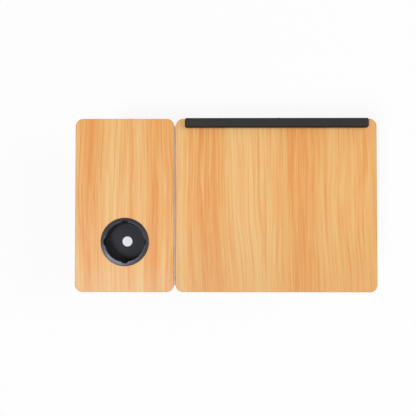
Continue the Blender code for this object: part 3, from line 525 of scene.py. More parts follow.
def arc(centre: Coords, radius: float, start: float, end: float, steps: int = 12) -> Points:
    """Points on an arc in a plane, both ends included.

    Args:
        centre: the arc's centre.
        radius: its radius.
        start: its first angle in degrees.
        end: its last angle in degrees.
        steps: the number of chords.

    Returns:
        The points in order.
    """
    angles = [math.radians(start + (end - start) * step / steps) for step in range(steps + 1)]
    return [(centre[0] + radius * math.cos(turn), centre[1] + radius * math.sin(turn)) for turn in angles]


def ring(centre: Coords, radius: float, steps: int = 28) -> Points:
    """Points on a full circle in a plane."""
    return arc(centre, radius, 0, 360 - 360 / steps, steps - 1)


def stadium(start: Coords, end: Coords, radius: float, steps: int = 14) -> Points:
    """Points round two equal round ends that lie along the plane's first direction."""
    return arc(end, radius, -90, 90, steps) + arc(start, radius, 90, 270, steps)


def aim(place: Coords, direction: Coords) -> Matrix:
    """The move that takes the origin to a place, and +Z to a direction."""
    return Matrix.Translation(place) @ Vector(direction).to_track_quat("Z", "Y").to_matrix().to_4x4()


def loose_circle(shape: Shape, place: Coords, radius: float, steps: int) -> list:
    """The edges of a level circle that is added to a shape."""
    made = bmesh.ops.create_circle(shape, segments=steps, radius=radius, matrix=Matrix.Translation(place))
    return list({edge for vert in made["verts"] for edge in vert.link_edges})


def soften(shape: Shape, edges: Iterable, width: float, segments: int = 2, clamp: bool = True) -> None:
    """Rounds edges."""
    bmesh.ops.bevel(shape, geom=list(edges), offset=width, segments=segments, profile=0.5, affect="EDGES",
                    material=-1, clamp_overlap=clamp)


def prism(outlines: Sequence[Outline], axis: Axis, start: float, end: float, bevel: float = EASE,
          segments: int = 2) -> Shape:
    """A flat outline, with any holes, extruded along an axis with rounded rims.

    Args:
        outlines: the outer outline, then one outline per hole.
        axis: the direction of the extrusion.
        start: where it starts.
        end: where it ends.
        bevel: the radius of its rims.
        segments: the facets of a rim.

    Returns:
        The closed shape.
    """
    low, high = sorted((start, end))
    shape, edges = bmesh.new(), []
    for outline in outlines:
        verts = [shape.verts.new(axis.point(low, *place)) for place in outline]
        edges += [shape.edges.new(pair) for pair in zip(verts, verts[1:] + verts[:1])]
    if len(outlines) == 1:
        shape.faces.new(verts)
    else:
        bmesh.ops.triangle_fill(shape, use_beauty=True, edges=edges, normal=axis.point(1))
    grown = bmesh.ops.extrude_face_region(shape, geom=shape.faces[:])["geom"]
    verts = [item for item in grown if isinstance(item, bmesh.types.BMVert)]
    bmesh.ops.translate(shape, verts=verts, vec=axis.point(high - low))
    bmesh.ops.recalc_face_normals(shape, faces=shape.faces)
    if bevel:
        ends = {face for face in shape.faces if abs(face.normal[axis.value]) > 0.9}
        rims = [edge for edge in shape.edges if len(ends.intersection(edge.link_faces)) == 1]
        soften(shape, rims, bevel, segments, False)
    return shape


def block(start: Coords, end: Coords, bevel: float = 0.0, segments: int = 3) -> Shape:
    """A box with every edge rounded.

    Args:
        start: one corner.
        end: the opposite corner.
        bevel: the radius of its edges.
        segments: the facets of an edge.

    Returns:
        The closed shape.
    """
    low, high = Vector(map(min, start, end)), Vector(map(max, start, end))
    shape = bmesh.new()
    bmesh.ops.create_cube(shape, size=1.0, matrix=Matrix.LocRotScale((low + high) / 2, None, high - low))
    if bevel:
        soften(shape, shape.edges, bevel, segments)
    return shape


def slab(centre: Coords, half: Coords, bevel: float = 0.0, segments: int = 3) -> Shape:
    """A box with every edge rounded, by its centre and half its size."""
    return block(Vector(centre) - Vector(half), Vector(centre) + Vector(half), bevel, segments)


def turned(profile: Outline, foot: Coords, direction: Coords = (0, 0, 1), steps: int = 40) -> Shape:
    """A profile spun about an axis.

    Args:
        profile: points of (radius, distance along the axis). They run from pole to pole, or else round a
            tube's section.
        foot: the point that the distances start from.
        direction: the axis.
        steps: the facets round the axis.

    Returns:
        The closed shape.
    """
    shape = bmesh.new()
    verts = [shape.verts.new((radius, 0, height)) for radius, height in profile]
    ends = verts[1:] + ([verts[0]] if profile[0][0] else [])
    edges = [shape.edges.new(pair) for pair in zip(verts, ends)]
    bmesh.ops.spin(shape, geom=verts + edges, cent=(0, 0, 0), axis=(0, 0, 1), dvec=(0, 0, 0),
                   angle=math.tau, steps=steps, use_merge=True)
    bmesh.ops.remove_doubles(shape, verts=shape.verts, dist=WELD)
    shape.transform(aim(foot, direction))
    return shape


def tube(axis: Axis, start: float, end: float, centre: Coords, radius: float, bore: float = 0.0,
         chamfer: float = 0.0004, steps: int = 40) -> Shape:
    """A straight tube, or a rod where it has no bore, with eased rims.

    Args:
        axis: its direction.
        start: where it starts.
        end: where it ends.
        centre: the other two coordinates of its middle.
        radius: its outer radius.
        bore: its inner radius.
        chamfer: the size of its rims' chamfer.
        steps: the facets round it.

    Returns:
        The closed shape.
    """
    half = [(bore, 0), (radius - chamfer, 0), (radius, chamfer)]
    profile = half + [(out, abs(end - start) - along) for out, along in reversed(half)]
    return turned(profile, axis.point(start, *centre), axis.point(end - start), steps)


def middle(node: str) -> Vector:
    """The middle of a CAD node's box."""
    return sum(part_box(node), Vector()) / 2


def put(name: str, data: bpy.types.ID, place: Coords = (0, 0, 0),
        turn: Coords = (0, 0, 0)) -> bpy.types.Object:
    """Makes a scene object.

    Args:
        name: its name.
        data: its mesh, lamp or camera.
        place: where it is.
        turn: its Euler angles.

    Returns:
        The object.
    """
    obj = bpy.data.objects.new(name, data)
    obj.location, obj.rotation_euler = place, turn
    bpy.context.scene.collection.objects.link(obj)
    return obj


@dataclass
class Piece:
    """One finished object, gathered from closed shapes, that replaces a CAD node. The first of its finishes
    is its main one."""

    node: str
    kind: str
    finishes: list[Finish]
    mesh: Shape = field(default_factory=bmesh.new)

    def __post_init__(self) -> None:
        """Names the piece and looks up its node's box."""
        self.name = f"{self.node}_{self.kind}"
        self.low, self.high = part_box(self.node)
        self.middle, self.size = middle(self.node), self.high - self.low

    def add(self, shape: Shape, finish: Finish | Callable[[Face], Finish] | None = None) -> "Piece":
        """Adds a shape, with its faces turned outwards.

        Args:
            shape: the shape, which is used up.
            finish: its finish where it isn't the main one, or a function that chooses each face's.

        Returns:
            This piece.
        """
        shape.normal_update()
        bmesh.ops.recalc_face_normals(shape, faces=shape.faces)
        for face in shape.faces:
            chosen = finish(face) if callable(finish) else finish or self.finishes[0]
            face.material_index = self.finishes.index(chosen)
        scratch = bpy.data.meshes.new("scratch")
        shape.to_mesh(scratch)
        shape.free()
        self.mesh.from_mesh(scratch)
        bpy.data.meshes.remove(scratch)
        return self

    def place(self, body: str, slot: str, crease: float = 35.0) -> bpy.types.Object:
        """Makes the scene object.

        Args:
            body: the CAD body that carries it.
            slot: the record's material slot; not used.
            crease: the angle in degrees past which an edge stays sharp.

        Returns:
            The object.
        """
        mesh = bpy.data.meshes.new(self.name)
        self.mesh.to_mesh(mesh)
        self.mesh.free()
        for finish in self.finishes:
            mesh.materials.append(finish.material())
        mesh.shade_smooth()
        mesh.set_sharp_from_angle(angle=math.radians(crease))
        obj = put(self.name, mesh)
        obj.modifiers.new("Even shading", "WEIGHTED_NORMAL").keep_sharp = True
        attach(obj, body)
        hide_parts(self.node)
        LOG.info("%s: %d faces on %s", self.name, len(mesh.polygons), body)
        return obj


def tube_piece(node: str, kind: str, finish: Finish, axis: Axis, wall: float, steps: int = 40) -> Piece:
    """A straight tube that fills a CAD node's box.

    Args:
        node: the CAD node.
        kind: what the piece's name ends in.
        finish: its finish.
        axis: its direction.
        wall: its wall's thickness.
        steps: the facets round it.

    Returns:
        The piece.
    """
    piece = Piece(node, kind, [finish])
    centre, radius = list(piece.middle), min(piece.size) / 2
    centre.pop(axis.value)
    start, end = piece.low[axis.value], piece.high[axis.value]
    return piece.add(tube(axis, start, end, centre, radius, radius - wall, steps=steps))


@dataclass(frozen=True)
class PanScrew:
    """A pan-head screw with a cross recess, seen from below."""

    radius: float = 0.0032
    height: float = 0.0016
    head: Outline = ((0, 0), (1, 0), (1, 0.35), (0.9, 0.7), (0.7, 0.92), (0.4, 1), (0, 1))
    cross: Pair = (0.55, 0.14)
    cross_height: Pair = (0.6, 1.02)
    cross_edge: float = 0.03

    def add_to(self, piece: Piece, *seat: float) -> None:
        """Adds the screw's head to a piece with zinc and recess-shade finishes; its recess is painted
        shade.

        Args:
            piece: the piece.
            seat: the point that the head sits against.
        """
        radius, height = self.radius, self.height
        piece.add(turned([(radius * out, height * up) for out, up in self.head], seat, DOWN, 24), ZINC)
        low, high = (height * share for share in self.cross_height)
        # the cross recess: dark bars of painted shade set into the head
        for along, across in (self.cross, self.cross[::-1]):
            corner = Vector((along * radius, across * radius, high))
            bar = block((-corner.x, -corner.y, low), corner, radius * self.cross_edge, 1)
            bar.transform(aim(seat, DOWN))
            piece.add(bar, SCREW_RECESS_SHADE)


# The top


@dataclass
class Boards:
    """The fixed side board with the cup holder's hole, and the tilting main board."""

    corner_radius: float = 0.015
    edge_radius: float = 0.0012
    hole_radius: float = 0.0413
    flat: float = 0.995

    def pierce(self, board: Shape, centre: Vector) -> None:
        """Opens the cup holder's hole through a board.

        Args:
            board: the board.
            centre: the hole's centre.
        """
        caps = [face for face in board.faces if abs(face.normal.z) > self.flat and face.calc_area() > 0.01]
        rims = [(face.verts[0].co.z, list(face.edges)) for face in caps]
        bmesh.ops.delete(board, geom=caps, context="FACES_ONLY")
        holes = [loose_circle(board, (*centre.xy, height), self.hole_radius, 96) for height, _ in rims]
        bmesh.ops.bridge_loops(board, edges=holes[0] + holes[1])
        for (_, rim), hole in zip(rims, holes):
            bmesh.ops.triangle_fill(board, use_beauty=True, edges=rim + hole, normal=(0, 0, 1))

    def finish_of(self, face: Face, laminate: Laminate) -> Finish:
        """The laminate on top, the backing underneath, and the band round the edge."""
        return EDGE_BAND if abs(face.normal.z) < self.flat else laminate if face.normal.z > 0 else BACKING

    def build(self) -> None:
        """Builds both boards."""
        for node, body, laminate in (("side_board", "frame", SIDE_LAMINATE),
                                     ("main_board", "tray", MAIN_LAMINATE)):
            piece = Piece(node, "panel", [laminate, EDGE_BAND, BACKING])
            board = block(piece.low, piece.high)
            for upright, radius, steps in ((True, self.corner_radius, 14), (False, self.edge_radius, 3)):
                soften(board, [edge for edge in board.edges if upright == (
                    abs(edge.verts[0].co.z - edge.verts[1].co.z) > WELD)], radius, steps)
            if node == "side_board":
                self.pierce(board, middle("cup_holder"))
            piece.add(board, lambda face: self.finish_of(face, laminate)).place(body, "board_laminate")


@dataclass
class CupHolder:
    """The black cup holder: domed flange, four windows in its lip, a drained floor and four snap hooks.

    Sections are points of (radius, height above the board's top). flange is the section over the dome and
    the lip, wall_rows are the heights that the wall is divided at, and a corner is given as its arc's
    centre and radius.
    """

    bore: float = 0.0392
    shell: float = 0.0410
    rim: float = 0.0479
    depth: float = 0.0398
    seat: float = 0.0003
    skin: float = 0.0002
    flange: Outline = ((0.0479, 0.0010), (0.0478, 0.0014), (0.0475, 0.0017), (0.0470, 0.0019),
                       (0.0457, 0.0022), (0.0444, 0.00245), (0.0431, 0.0027), (0.0422, 0.0029),
                       (0.0420, 0.00295), (0.0409, 0.0031), (0.0401, 0.00325), (0.0397, 0.0031),
                       (0.0394, 0.0027), (0.0392, 0.0019), (0.0392, 0.0004))
    wall_rows: tuple[float, ...] = (-0.001, -0.003, -0.006, -0.009, -0.012)
    taper: Pair = (0.0386, -0.020)
    well_corner: Vec3 = (0.0342, -0.0350, 0.003)
    drain: Outline = ((0.0123, -0.0380), (0.0110, -0.0381), (0.0101, -0.0388), (0.0101, -0.0395),
                      (0.0104, -0.0398))
    foot_corner: Vec3 = (0.0350, -0.0358, 0.004)
    skirt_top: float = -0.006
    window_reach: float = 0.0420
    window_columns: int = 7
    window_waist: float = 0.0045
    window_floor: float = 0.0005
    window_edge: float = 0.0004
    groove_foot: float = -0.012
    hook: Box = ((0.0400, -0.006, -0.0143), (0.0432, 0.006, -0.0093))
    hook_edge: float = 0.0006
    steps: int = 200

    def profile(self) -> Points:
        """The cup's section, from the flange's outer edge over the lip, down the well and back outside.

        Returns:
            The section, as a ring of points.
        """
        section = [(self.shell, self.seat), (self.rim, self.seat), *self.flange]
        section += [(self.bore, height) for height in self.wall_rows] + [self.taper]
        section += arc(self.well_corner, self.well_corner[2], 0, -90, 6) + list(self.drain)
        section += arc(self.foot_corner, self.foot_corner[2], -90, 0, 6)
        return section + [(self.shell, self.skirt_top)]

    def facing(self, reach: float, height: float) -> bool:
        """Whether a point is on the flange or inside the wall, and not outside it, underneath or deeper."""
        outside = reach > self.shell - self.skin - WELD and height < self.seat + WELD
        return reach > self.bore - WELD and height > self.groove_foot - WELD and not outside

    def window_side(self, reach: float) -> float:
        """The angle from a window's middle to its side. It narrows outwards, then opens over the flange.

        Args:
            reach: the distance from the cup's axis.

        Returns:
            The angle in radians.
        """
        wide = math.tau / self.steps * self.window_columns
        narrow = math.asin(self.window_waist / self.window_reach)
        inner = (reach - self.bore) / (self.window_reach - self.bore)
        outer = (self.rim - reach) / (self.rim - self.window_reach)
        return wide + (narrow - wide) * max(0.0, min(inner, outer, 1.0))

    def open_windows(self, cup: Shape, centre: Vector) -> None:
        """Presses a window into the lip at each quarter of the ring, with a groove down the wall below it.

        Args:
            cup: the cup's mesh.
            centre: the cup's axis at the board's top.
        """
        pitch, limit = math.tau / self.steps, self.shell - self.skin
        column, half = pitch * self.window_columns, QUARTER / 2
        for vert in cup.verts:
            place = vert.co - centre
            reach, height, turn = math.hypot(place.x, place.y), place.z, math.atan2(place.y, place.x)
            if not self.facing(reach, height):
                continue
            window = round(turn / QUARTER) * QUARTER
            away, side = abs(turn - window), self.window_side(reach)
            if away > column - pitch / 2:
                moved = half - (half - away) * (half - side) / (half - column)
            else:
                moved = away / (column - pitch) * (side - self.window_edge / reach)
                if reach < self.window_reach + WELD:
                    if reach < limit:
                        sink = max(0.0, min(1.0, height / self.groove_foot))
                        reach = max(reach, limit - (limit - self.bore) * sink)
                    height = min(height, self.window_floor + (height - self.window_floor) * 0.1)
            turn = window + math.copysign(moved, turn - window)
            vert.co = centre + Vector((reach * math.cos(turn), reach * math.sin(turn), height))

    def finish_of(self, face: Face, centre: Vector) -> Finish:
        """Satin on the flange, matt in the well, and dark, dull painted shade in the windows and grooves.

        Args:
            face: a face of the cup.
            centre: the cup's axis at the board's top.

        Returns:
            The face's finish.
        """
        place = face.calc_center_median() - centre
        reach = math.hypot(place.x, place.y)
        away = abs((math.atan2(place.y, place.x) + QUARTER / 2) % QUARTER - QUARTER / 2)
        side = self.window_side(reach if place.z > self.window_floor else self.bore)
        # the windows and the grooves under them take the painted shade
        if self.facing(reach, place.z) and reach < self.window_reach and away < side:
            return CUP_WINDOW_SHADE
        return CUP_FLANGE if reach > self.bore + self.skin and place.z > self.seat else CUP_WELL

    def build(self) -> None:
        """Builds the cup holder."""
        piece = Piece("cup_holder", "shell", [CUP_FLANGE, CUP_WELL, CUP_WINDOW_SHADE])
        centre = Vector((piece.middle.x, piece.middle.y, piece.low.z + self.depth))
        cup = turned(self.profile(), centre, steps=self.steps)
        self.open_windows(cup, centre)
        piece.add(cup, lambda face: self.finish_of(face, centre))
        for quarter in range(4):
            hook = block(*self.hook, self.hook_edge)
            hook.transform(Matrix.Translation(centre) @ Matrix.Rotation(QUARTER * quarter, 4, "Z"))
            piece.add(hook, CUP_WELL)
        piece.place("frame", "cup_plastic", 40)


@dataclass
class StopperBar:
    """The black bar that keeps a laptop on the tilted board."""

    chamfer: float = 0.0024
    crease: float = 0.0005
    nub: float = 0.0025
    nub_shift: float = 0.004
    nub_reach: float = 0.0011
    nub_root: float = 0.001
    nub_edge: float = 0.0004
    flat: float = 0.97

    def build(self) -> None:
        """Builds the bar with its nub, and dresses its foam strip."""
        piece = Piece("stopper_bar", "moulding", [STOPPER_TOP, STOPPER_EDGE_SHADE])
        high, outer, nub = piece.high, piece.high.y - self.nub_reach, self.nub
        bar = block(piece.low, (high.x, outer, high.z), self.chamfer, 1)
        soften(bar, bar.edges, self.crease, 3)
        # painted shade: the chamfers, and the nub below, take the darker copy of the bar's plastic
        piece.add(bar, lambda face: STOPPER_TOP if face.normal.z > self.flat else STOPPER_EDGE_SHADE)
        x, z = piece.middle.x + self.nub_shift, piece.middle.z
        tab = block((x - nub / 2, outer - self.nub_root, z - nub), (x + nub / 2, high.y, z + nub),
                    self.nub_edge)
        piece.add(tab, STOPPER_EDGE_SHADE).place("tray", "stopper_plastic")
        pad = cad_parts["stopper_pad"].data
        pad.materials.clear()
        pad.materials.append(FOAM.material())
        LOG.info("stopper_pad: CAD solid, %s", FOAM.label)


# The frame under the top


@dataclass
class TopFrame:
    """The rails, the end beams with their hinge cheeks, the centre beam and the notch rails.

    cheek and boss are spans outwards from a leg's station, and a rib is given as half its size.
    """

    rail_wall: float = 0.0012
    beam_radius: float = 0.0102
    beam_edge: float = 0.0014
    panel: Outline = ((0.0018, 0.0), (0.0006, -0.0006))
    ring_radius: float = 0.0099
    ring_bore: float = 0.0081
    ring_span: Pair = (-0.001, 0.0009)
    cheek: Pair = (0.0118, 0.0163)
    cheek_radius: float = 0.0107
    cheek_top: float = 0.2119
    boss: Pair = (0.0138, 0.0183)
    boss_radius: float = 0.0098
    rib: Vec3 = (0.001, 0.003, 0.0025)
    moulded_edge: float = 0.0006
    centre_screws: tuple[float, ...] = (-0.105, -0.035, 0.035, 0.105)
    screw_shift: float = -0.0055
    strip_half: float = 0.0009
    strip_inset: float = 0.001
    strip_top: float = 0.2366
    strip_edge: float = 0.0004
    slot_radius: float = 0.0033
    slot_start: float = 0.008
    notch_drop: float = 0.002
    notches: tuple[float, ...] = (-0.1176, -0.1068, -0.0923, -0.0741)
    plate_edge: float = 0.0003
    rivet: Outline = ((0, -0.001), (0.0017, -0.001), (0.0017, 0.00025), (0.00102, 0.0005), (0, 0.0005))
    rivet_inset: Pair = (0.0035, 0.0030)

    def beam(self, piece: Piece, *signs: int) -> None:
        """Adds a beam with round ends, sunk panels, and raised rings round the rails.

        Args:
            piece: the beam's piece.
            signs: the signs along X of the faces that the rails leave.
        """
        outline = stadium((-RAIL_Y, RAIL_Z), (RAIL_Y, RAIL_Z), self.beam_radius)
        bar = prism([outline], Axis.X, piece.low.x, piece.high.x, self.beam_edge, 4)
        for face in [face for face in bar.faces if abs(face.normal.x) > 0.99 and face.calc_area() > 0.001]:
            for inset, raised in self.panel:
                bmesh.ops.inset_region(bar, faces=[face], thickness=inset, depth=raised,
                                       use_even_offset=True)
        piece.add(bar)
        for sign in signs:
            face_x = piece.high.x if sign > 0 else piece.low.x
            near, far = (face_x + sign * reach for reach in self.ring_span)
            for row in Row:
                rail = (row.sign * RAIL_Y, RAIL_Z)
                piece.add(tube(Axis.X, near, far, rail, self.ring_radius, self.ring_bore, EASE))

    def end_beam(self, side: Side) -> None:
        """An end beam with the cheeks and button bosses of its two leg hinges.

        Args:
            side: the end of the table.
        """
        piece = Piece(f"{side.label}_end_beam", "moulding", [BLACK_PLASTIC, ZINC, SCREW_RECESS_SHADE])
        self.beam(piece, -side.sign)
        x, lowest, radius = piece.middle.x, RAIL_Z - self.beam_radius, self.cheek_radius
        hinge, rib = (x, PIVOT_Z), self.rib
        for out in (row.sign for row in Row):
            for way, hole in ((-out, PIN_HOLE), (out, BUTTON_HOLE)):
                outline = arc(hinge, radius, 180, 360, 24)
                outline += [(x + radius, self.cheek_top), (x - radius, self.cheek_top)]
                near, far = (out * STATION + way * reach for reach in self.cheek)
                piece.add(prism([outline, ring(hinge, hole)], Axis.Y, near, far))
                foot = (x, far + way * (rib[1] - EASE), lowest - EASE)
                piece.add(slab(foot, rib, self.moulded_edge))
            near, far = (out * (STATION + reach) for reach in self.boss)
            piece.add(tube(Axis.Y, near, far, hinge, self.boss_radius, BUTTON_HOLE, self.moulded_edge))
        for y in (-RAIL_Y, -RAIL_Y / 2, 0.0, RAIL_Y / 2, RAIL_Y):
            PanScrew().add_to(piece, x, y, lowest)
        piece.place("frame", "frame_plastic")

    def centre_beam(self) -> None:
        """The grey beam under the gap, with the light strip that shows in it."""
        piece = Piece("centre_beam", "moulding", [BEAM_GREY, ZINC, SCREW_RECESS_SHADE, STRIP_GREY])
        self.beam(piece, -1, 1)
        x, half, reach = piece.middle.x, self.strip_half, piece.high.y - self.strip_inset
        strip = block((x - half, -reach, RAIL_Z), (x + half, reach, self.strip_top), self.strip_edge)
        piece.add(strip, STRIP_GREY)
        for y in self.centre_screws:
            PanScrew().add_to(piece, x + self.screw_shift, y, RAIL_Z - self.beam_radius)
        piece.place("frame", "beam_plastic")

    def notch_rail(self, side: Side) -> None:
        """One of the plates whose notched slots the prop's foot rod slides along, with a rivet at each end.

        Args:
            side: the end of the prop.
        """
        piece, radius = Piece(f"notch_rail_{side.label}", "plate", [ZINC]), self.slot_radius
        low, high, notch_z = piece.low, piece.high, RAIL_Z - self.notch_drop
        dip = math.degrees(math.asin((self.notch_drop - radius) / radius))
        lean = math.degrees(math.asin(self.notch_drop / 2 / radius))
        slot = arc((low.y + self.slot_start, RAIL_Z), radius, 90, 270, 14)
        for y in self.notches[:-1]:
            slot += arc((y, notch_z), radius, 180 - dip, 360 + dip, 10)
        slot += arc((self.notches[-1], notch_z), radius, 180 - dip, 360 + lean, 12)
        slot += arc((self.notches[-1], RAIL_Z), radius, -lean, 90, 7)[1:]
        edge = [(low.y, low.z), (high.y, low.z), (high.y, high.z), (low.y, high.z)]
        piece.add(prism([edge, slot], Axis.X, low.x, high.x, self.plate_edge))
        face, (inset, drop) = high.x if side is Side.LEFT else low.x, self.rivet_inset
        for y in (low.y + inset, high.y - inset):
            piece.add(turned(self.rivet, (face, y, high.z - drop), Axis.X.point(-side.sign), 20))
        piece.place("frame", "zinc_steel")

    def build(self) -> None:
        """Builds the whole frame."""
        for row in Row:
            rail = tube_piece(f"{row.label}_rail", "tube", POWDER, Axis.X, self.rail_wall)
            rail.place("frame", "rail_paint")
        for side in Side:
            self.end_beam(side)
        self.centre_beam()
        for side in Side:
            self.notch_rail(side)


@dataclass
class TiltMechanism:
    """What the main board turns on and what props it up: saddles, brackets, pins, arms and the foot rod."""

    saddle_bore: float = 0.0083
    saddle_radius: float = 0.0102
    saddle_flange: float = 0.002
    half_mouth: float = 50.0
    saddle_rib: Box = ((-0.001, 0.124, 0.2257), (0.001, 0.141, 0.2297))
    saddle_screw: Pair = (0.0095, 0.0105)
    pivot_y: float = 0.0115
    foot_y: float = -0.127
    arm_radius: float = 0.0045
    sheet_edge: float = 0.0004
    pin_radius: float = 0.0025
    pin_head: Outline = ((0, 0), (0.5, 0.0002), (0.85, 0.0007), (1, 0.0012), (1, 0.0015))
    foot_radius: float = 0.003
    play: float = 0.0003
    eye_radius: float = 0.006
    sheet: float = 0.0025
    sheet_bend: float = 0.0006
    sheet_screw: Pair = (0.0062, 0.0055)

    def saddle(self, side: Side) -> None:
        """A clip that snaps round the front rail from above, screwed under the main board.

        Args:
            side: the end of the tray.
        """
        piece = Piece(f"tilt_saddle_{side.label}", "clip", [BLACK_PLASTIC, ZINC, SCREW_RECESS_SHADE])
        low, high, x = piece.low, piece.high, piece.middle.x
        rail, radius, mouth = (RAIL_Y, RAIL_Z), self.saddle_radius, self.half_mouth
        meet = math.degrees(math.acos(1 - self.saddle_flange / radius))
        underside = high.z - self.saddle_flange
        outline = arc(rail, radius, mouth - 90, 90, 22) + [(low.y, high.z), (low.y, underside)]
        outline += arc(rail, radius, 90 + meet, 270 - mouth, 18)
        outline += arc(rail, self.saddle_bore, 270 - mouth, mouth - 90, 34)
        piece.add(prism([outline], Axis.X, low.x, high.x))
        shift, inset = self.saddle_screw
        for screw_x in (x - shift, x + shift):
            PanScrew().add_to(piece, screw_x, low.y + inset, underside)
        piece.add(block(*(Axis.X.point(x) + Vector(corner) for corner in self.saddle_rib), EASE))
        piece.place("tray", "frame_plastic")

    def bracket(self, side: Side) -> None:
        """A folded bracket under the main board, with the eye that its arm swings on.

        Args:
            side: the end of the prop.
        """
        piece, inward = Piece(f"prop_bracket_{side.label}", "sheet", [ZINC, SCREW_RECESS_SHADE]), -side.sign
        low, high, pivot = piece.low, piece.high, (self.pivot_y, RAIL_Z)
        underside = high.z - self.sheet
        near, far = (low.x, high.x) if inward > 0 else (high.x, low.x)
        outline = arc(pivot, self.eye_radius, 180, 360, 20) + [(high.y, high.z), (low.y, high.z)]
        outlines = [outline, ring(pivot, self.pin_radius + self.play)]
        piece.add(prism(outlines, Axis.X, near, near + inward * self.sheet, self.sheet_edge))
        piece.add(block((near, low.y, underside), (far, high.y, high.z), self.sheet_bend))
        shift, inset = self.sheet_screw
        for y in (low.y + inset, high.y - inset):
            PanScrew().add_to(piece, far - inward * shift, y, underside)
        piece.place("tray", "zinc_steel")

    def arm(self, side: Side) -> None:
        """A flat prop arm with round ends, and the rivet that joins it to its bracket.

        Args:
            side: the end of the prop.
        """
        foot, pivot = ((y, RAIL_Z) for y in (self.foot_y, self.pivot_y))
        pin = Piece(f"prop_pin_{side.label}", "rivet", [ZINC])
        head = [(pin.size.z / 2 * out, along) for out, along in self.pin_head]
        head.append((self.pin_radius, head[-1][1]))
        profile = head + [(out, pin.size.x - along) for out, along in reversed(head)]
        pin.add(turned(profile, (pin.low.x, *pivot), (1, 0, 0), 28)).place("tray", "zinc_steel")
        arm = Piece(f"prop_arm_{side.label}", "strap", [ZINC])
        outlines = [stadium(foot, pivot, self.arm_radius), ring(foot, self.foot_radius + self.play),
                    ring(pivot, self.pin_radius + self.play)]
        arm.add(prism(outlines, Axis.X, arm.low.x, arm.high.x, self.sheet_edge)).place("prop", "zinc_steel")

    def build(self) -> None:
        """Builds both ends, and the foot rod between the arms."""
        for side in Side:
            self.saddle(side)
            self.bracket(side)
            self.arm(side)
        rod, centre = Piece("prop_foot_rod", "bar", [ZINC]), (self.foot_y, RAIL_Z)
        rod.name = "prop_foot_bar"
        rod.add(tube(Axis.X, rod.low.x, rod.high.x, centre, self.foot_radius, steps=32))
        rod.place("prop", "zinc_steel")


# The legs


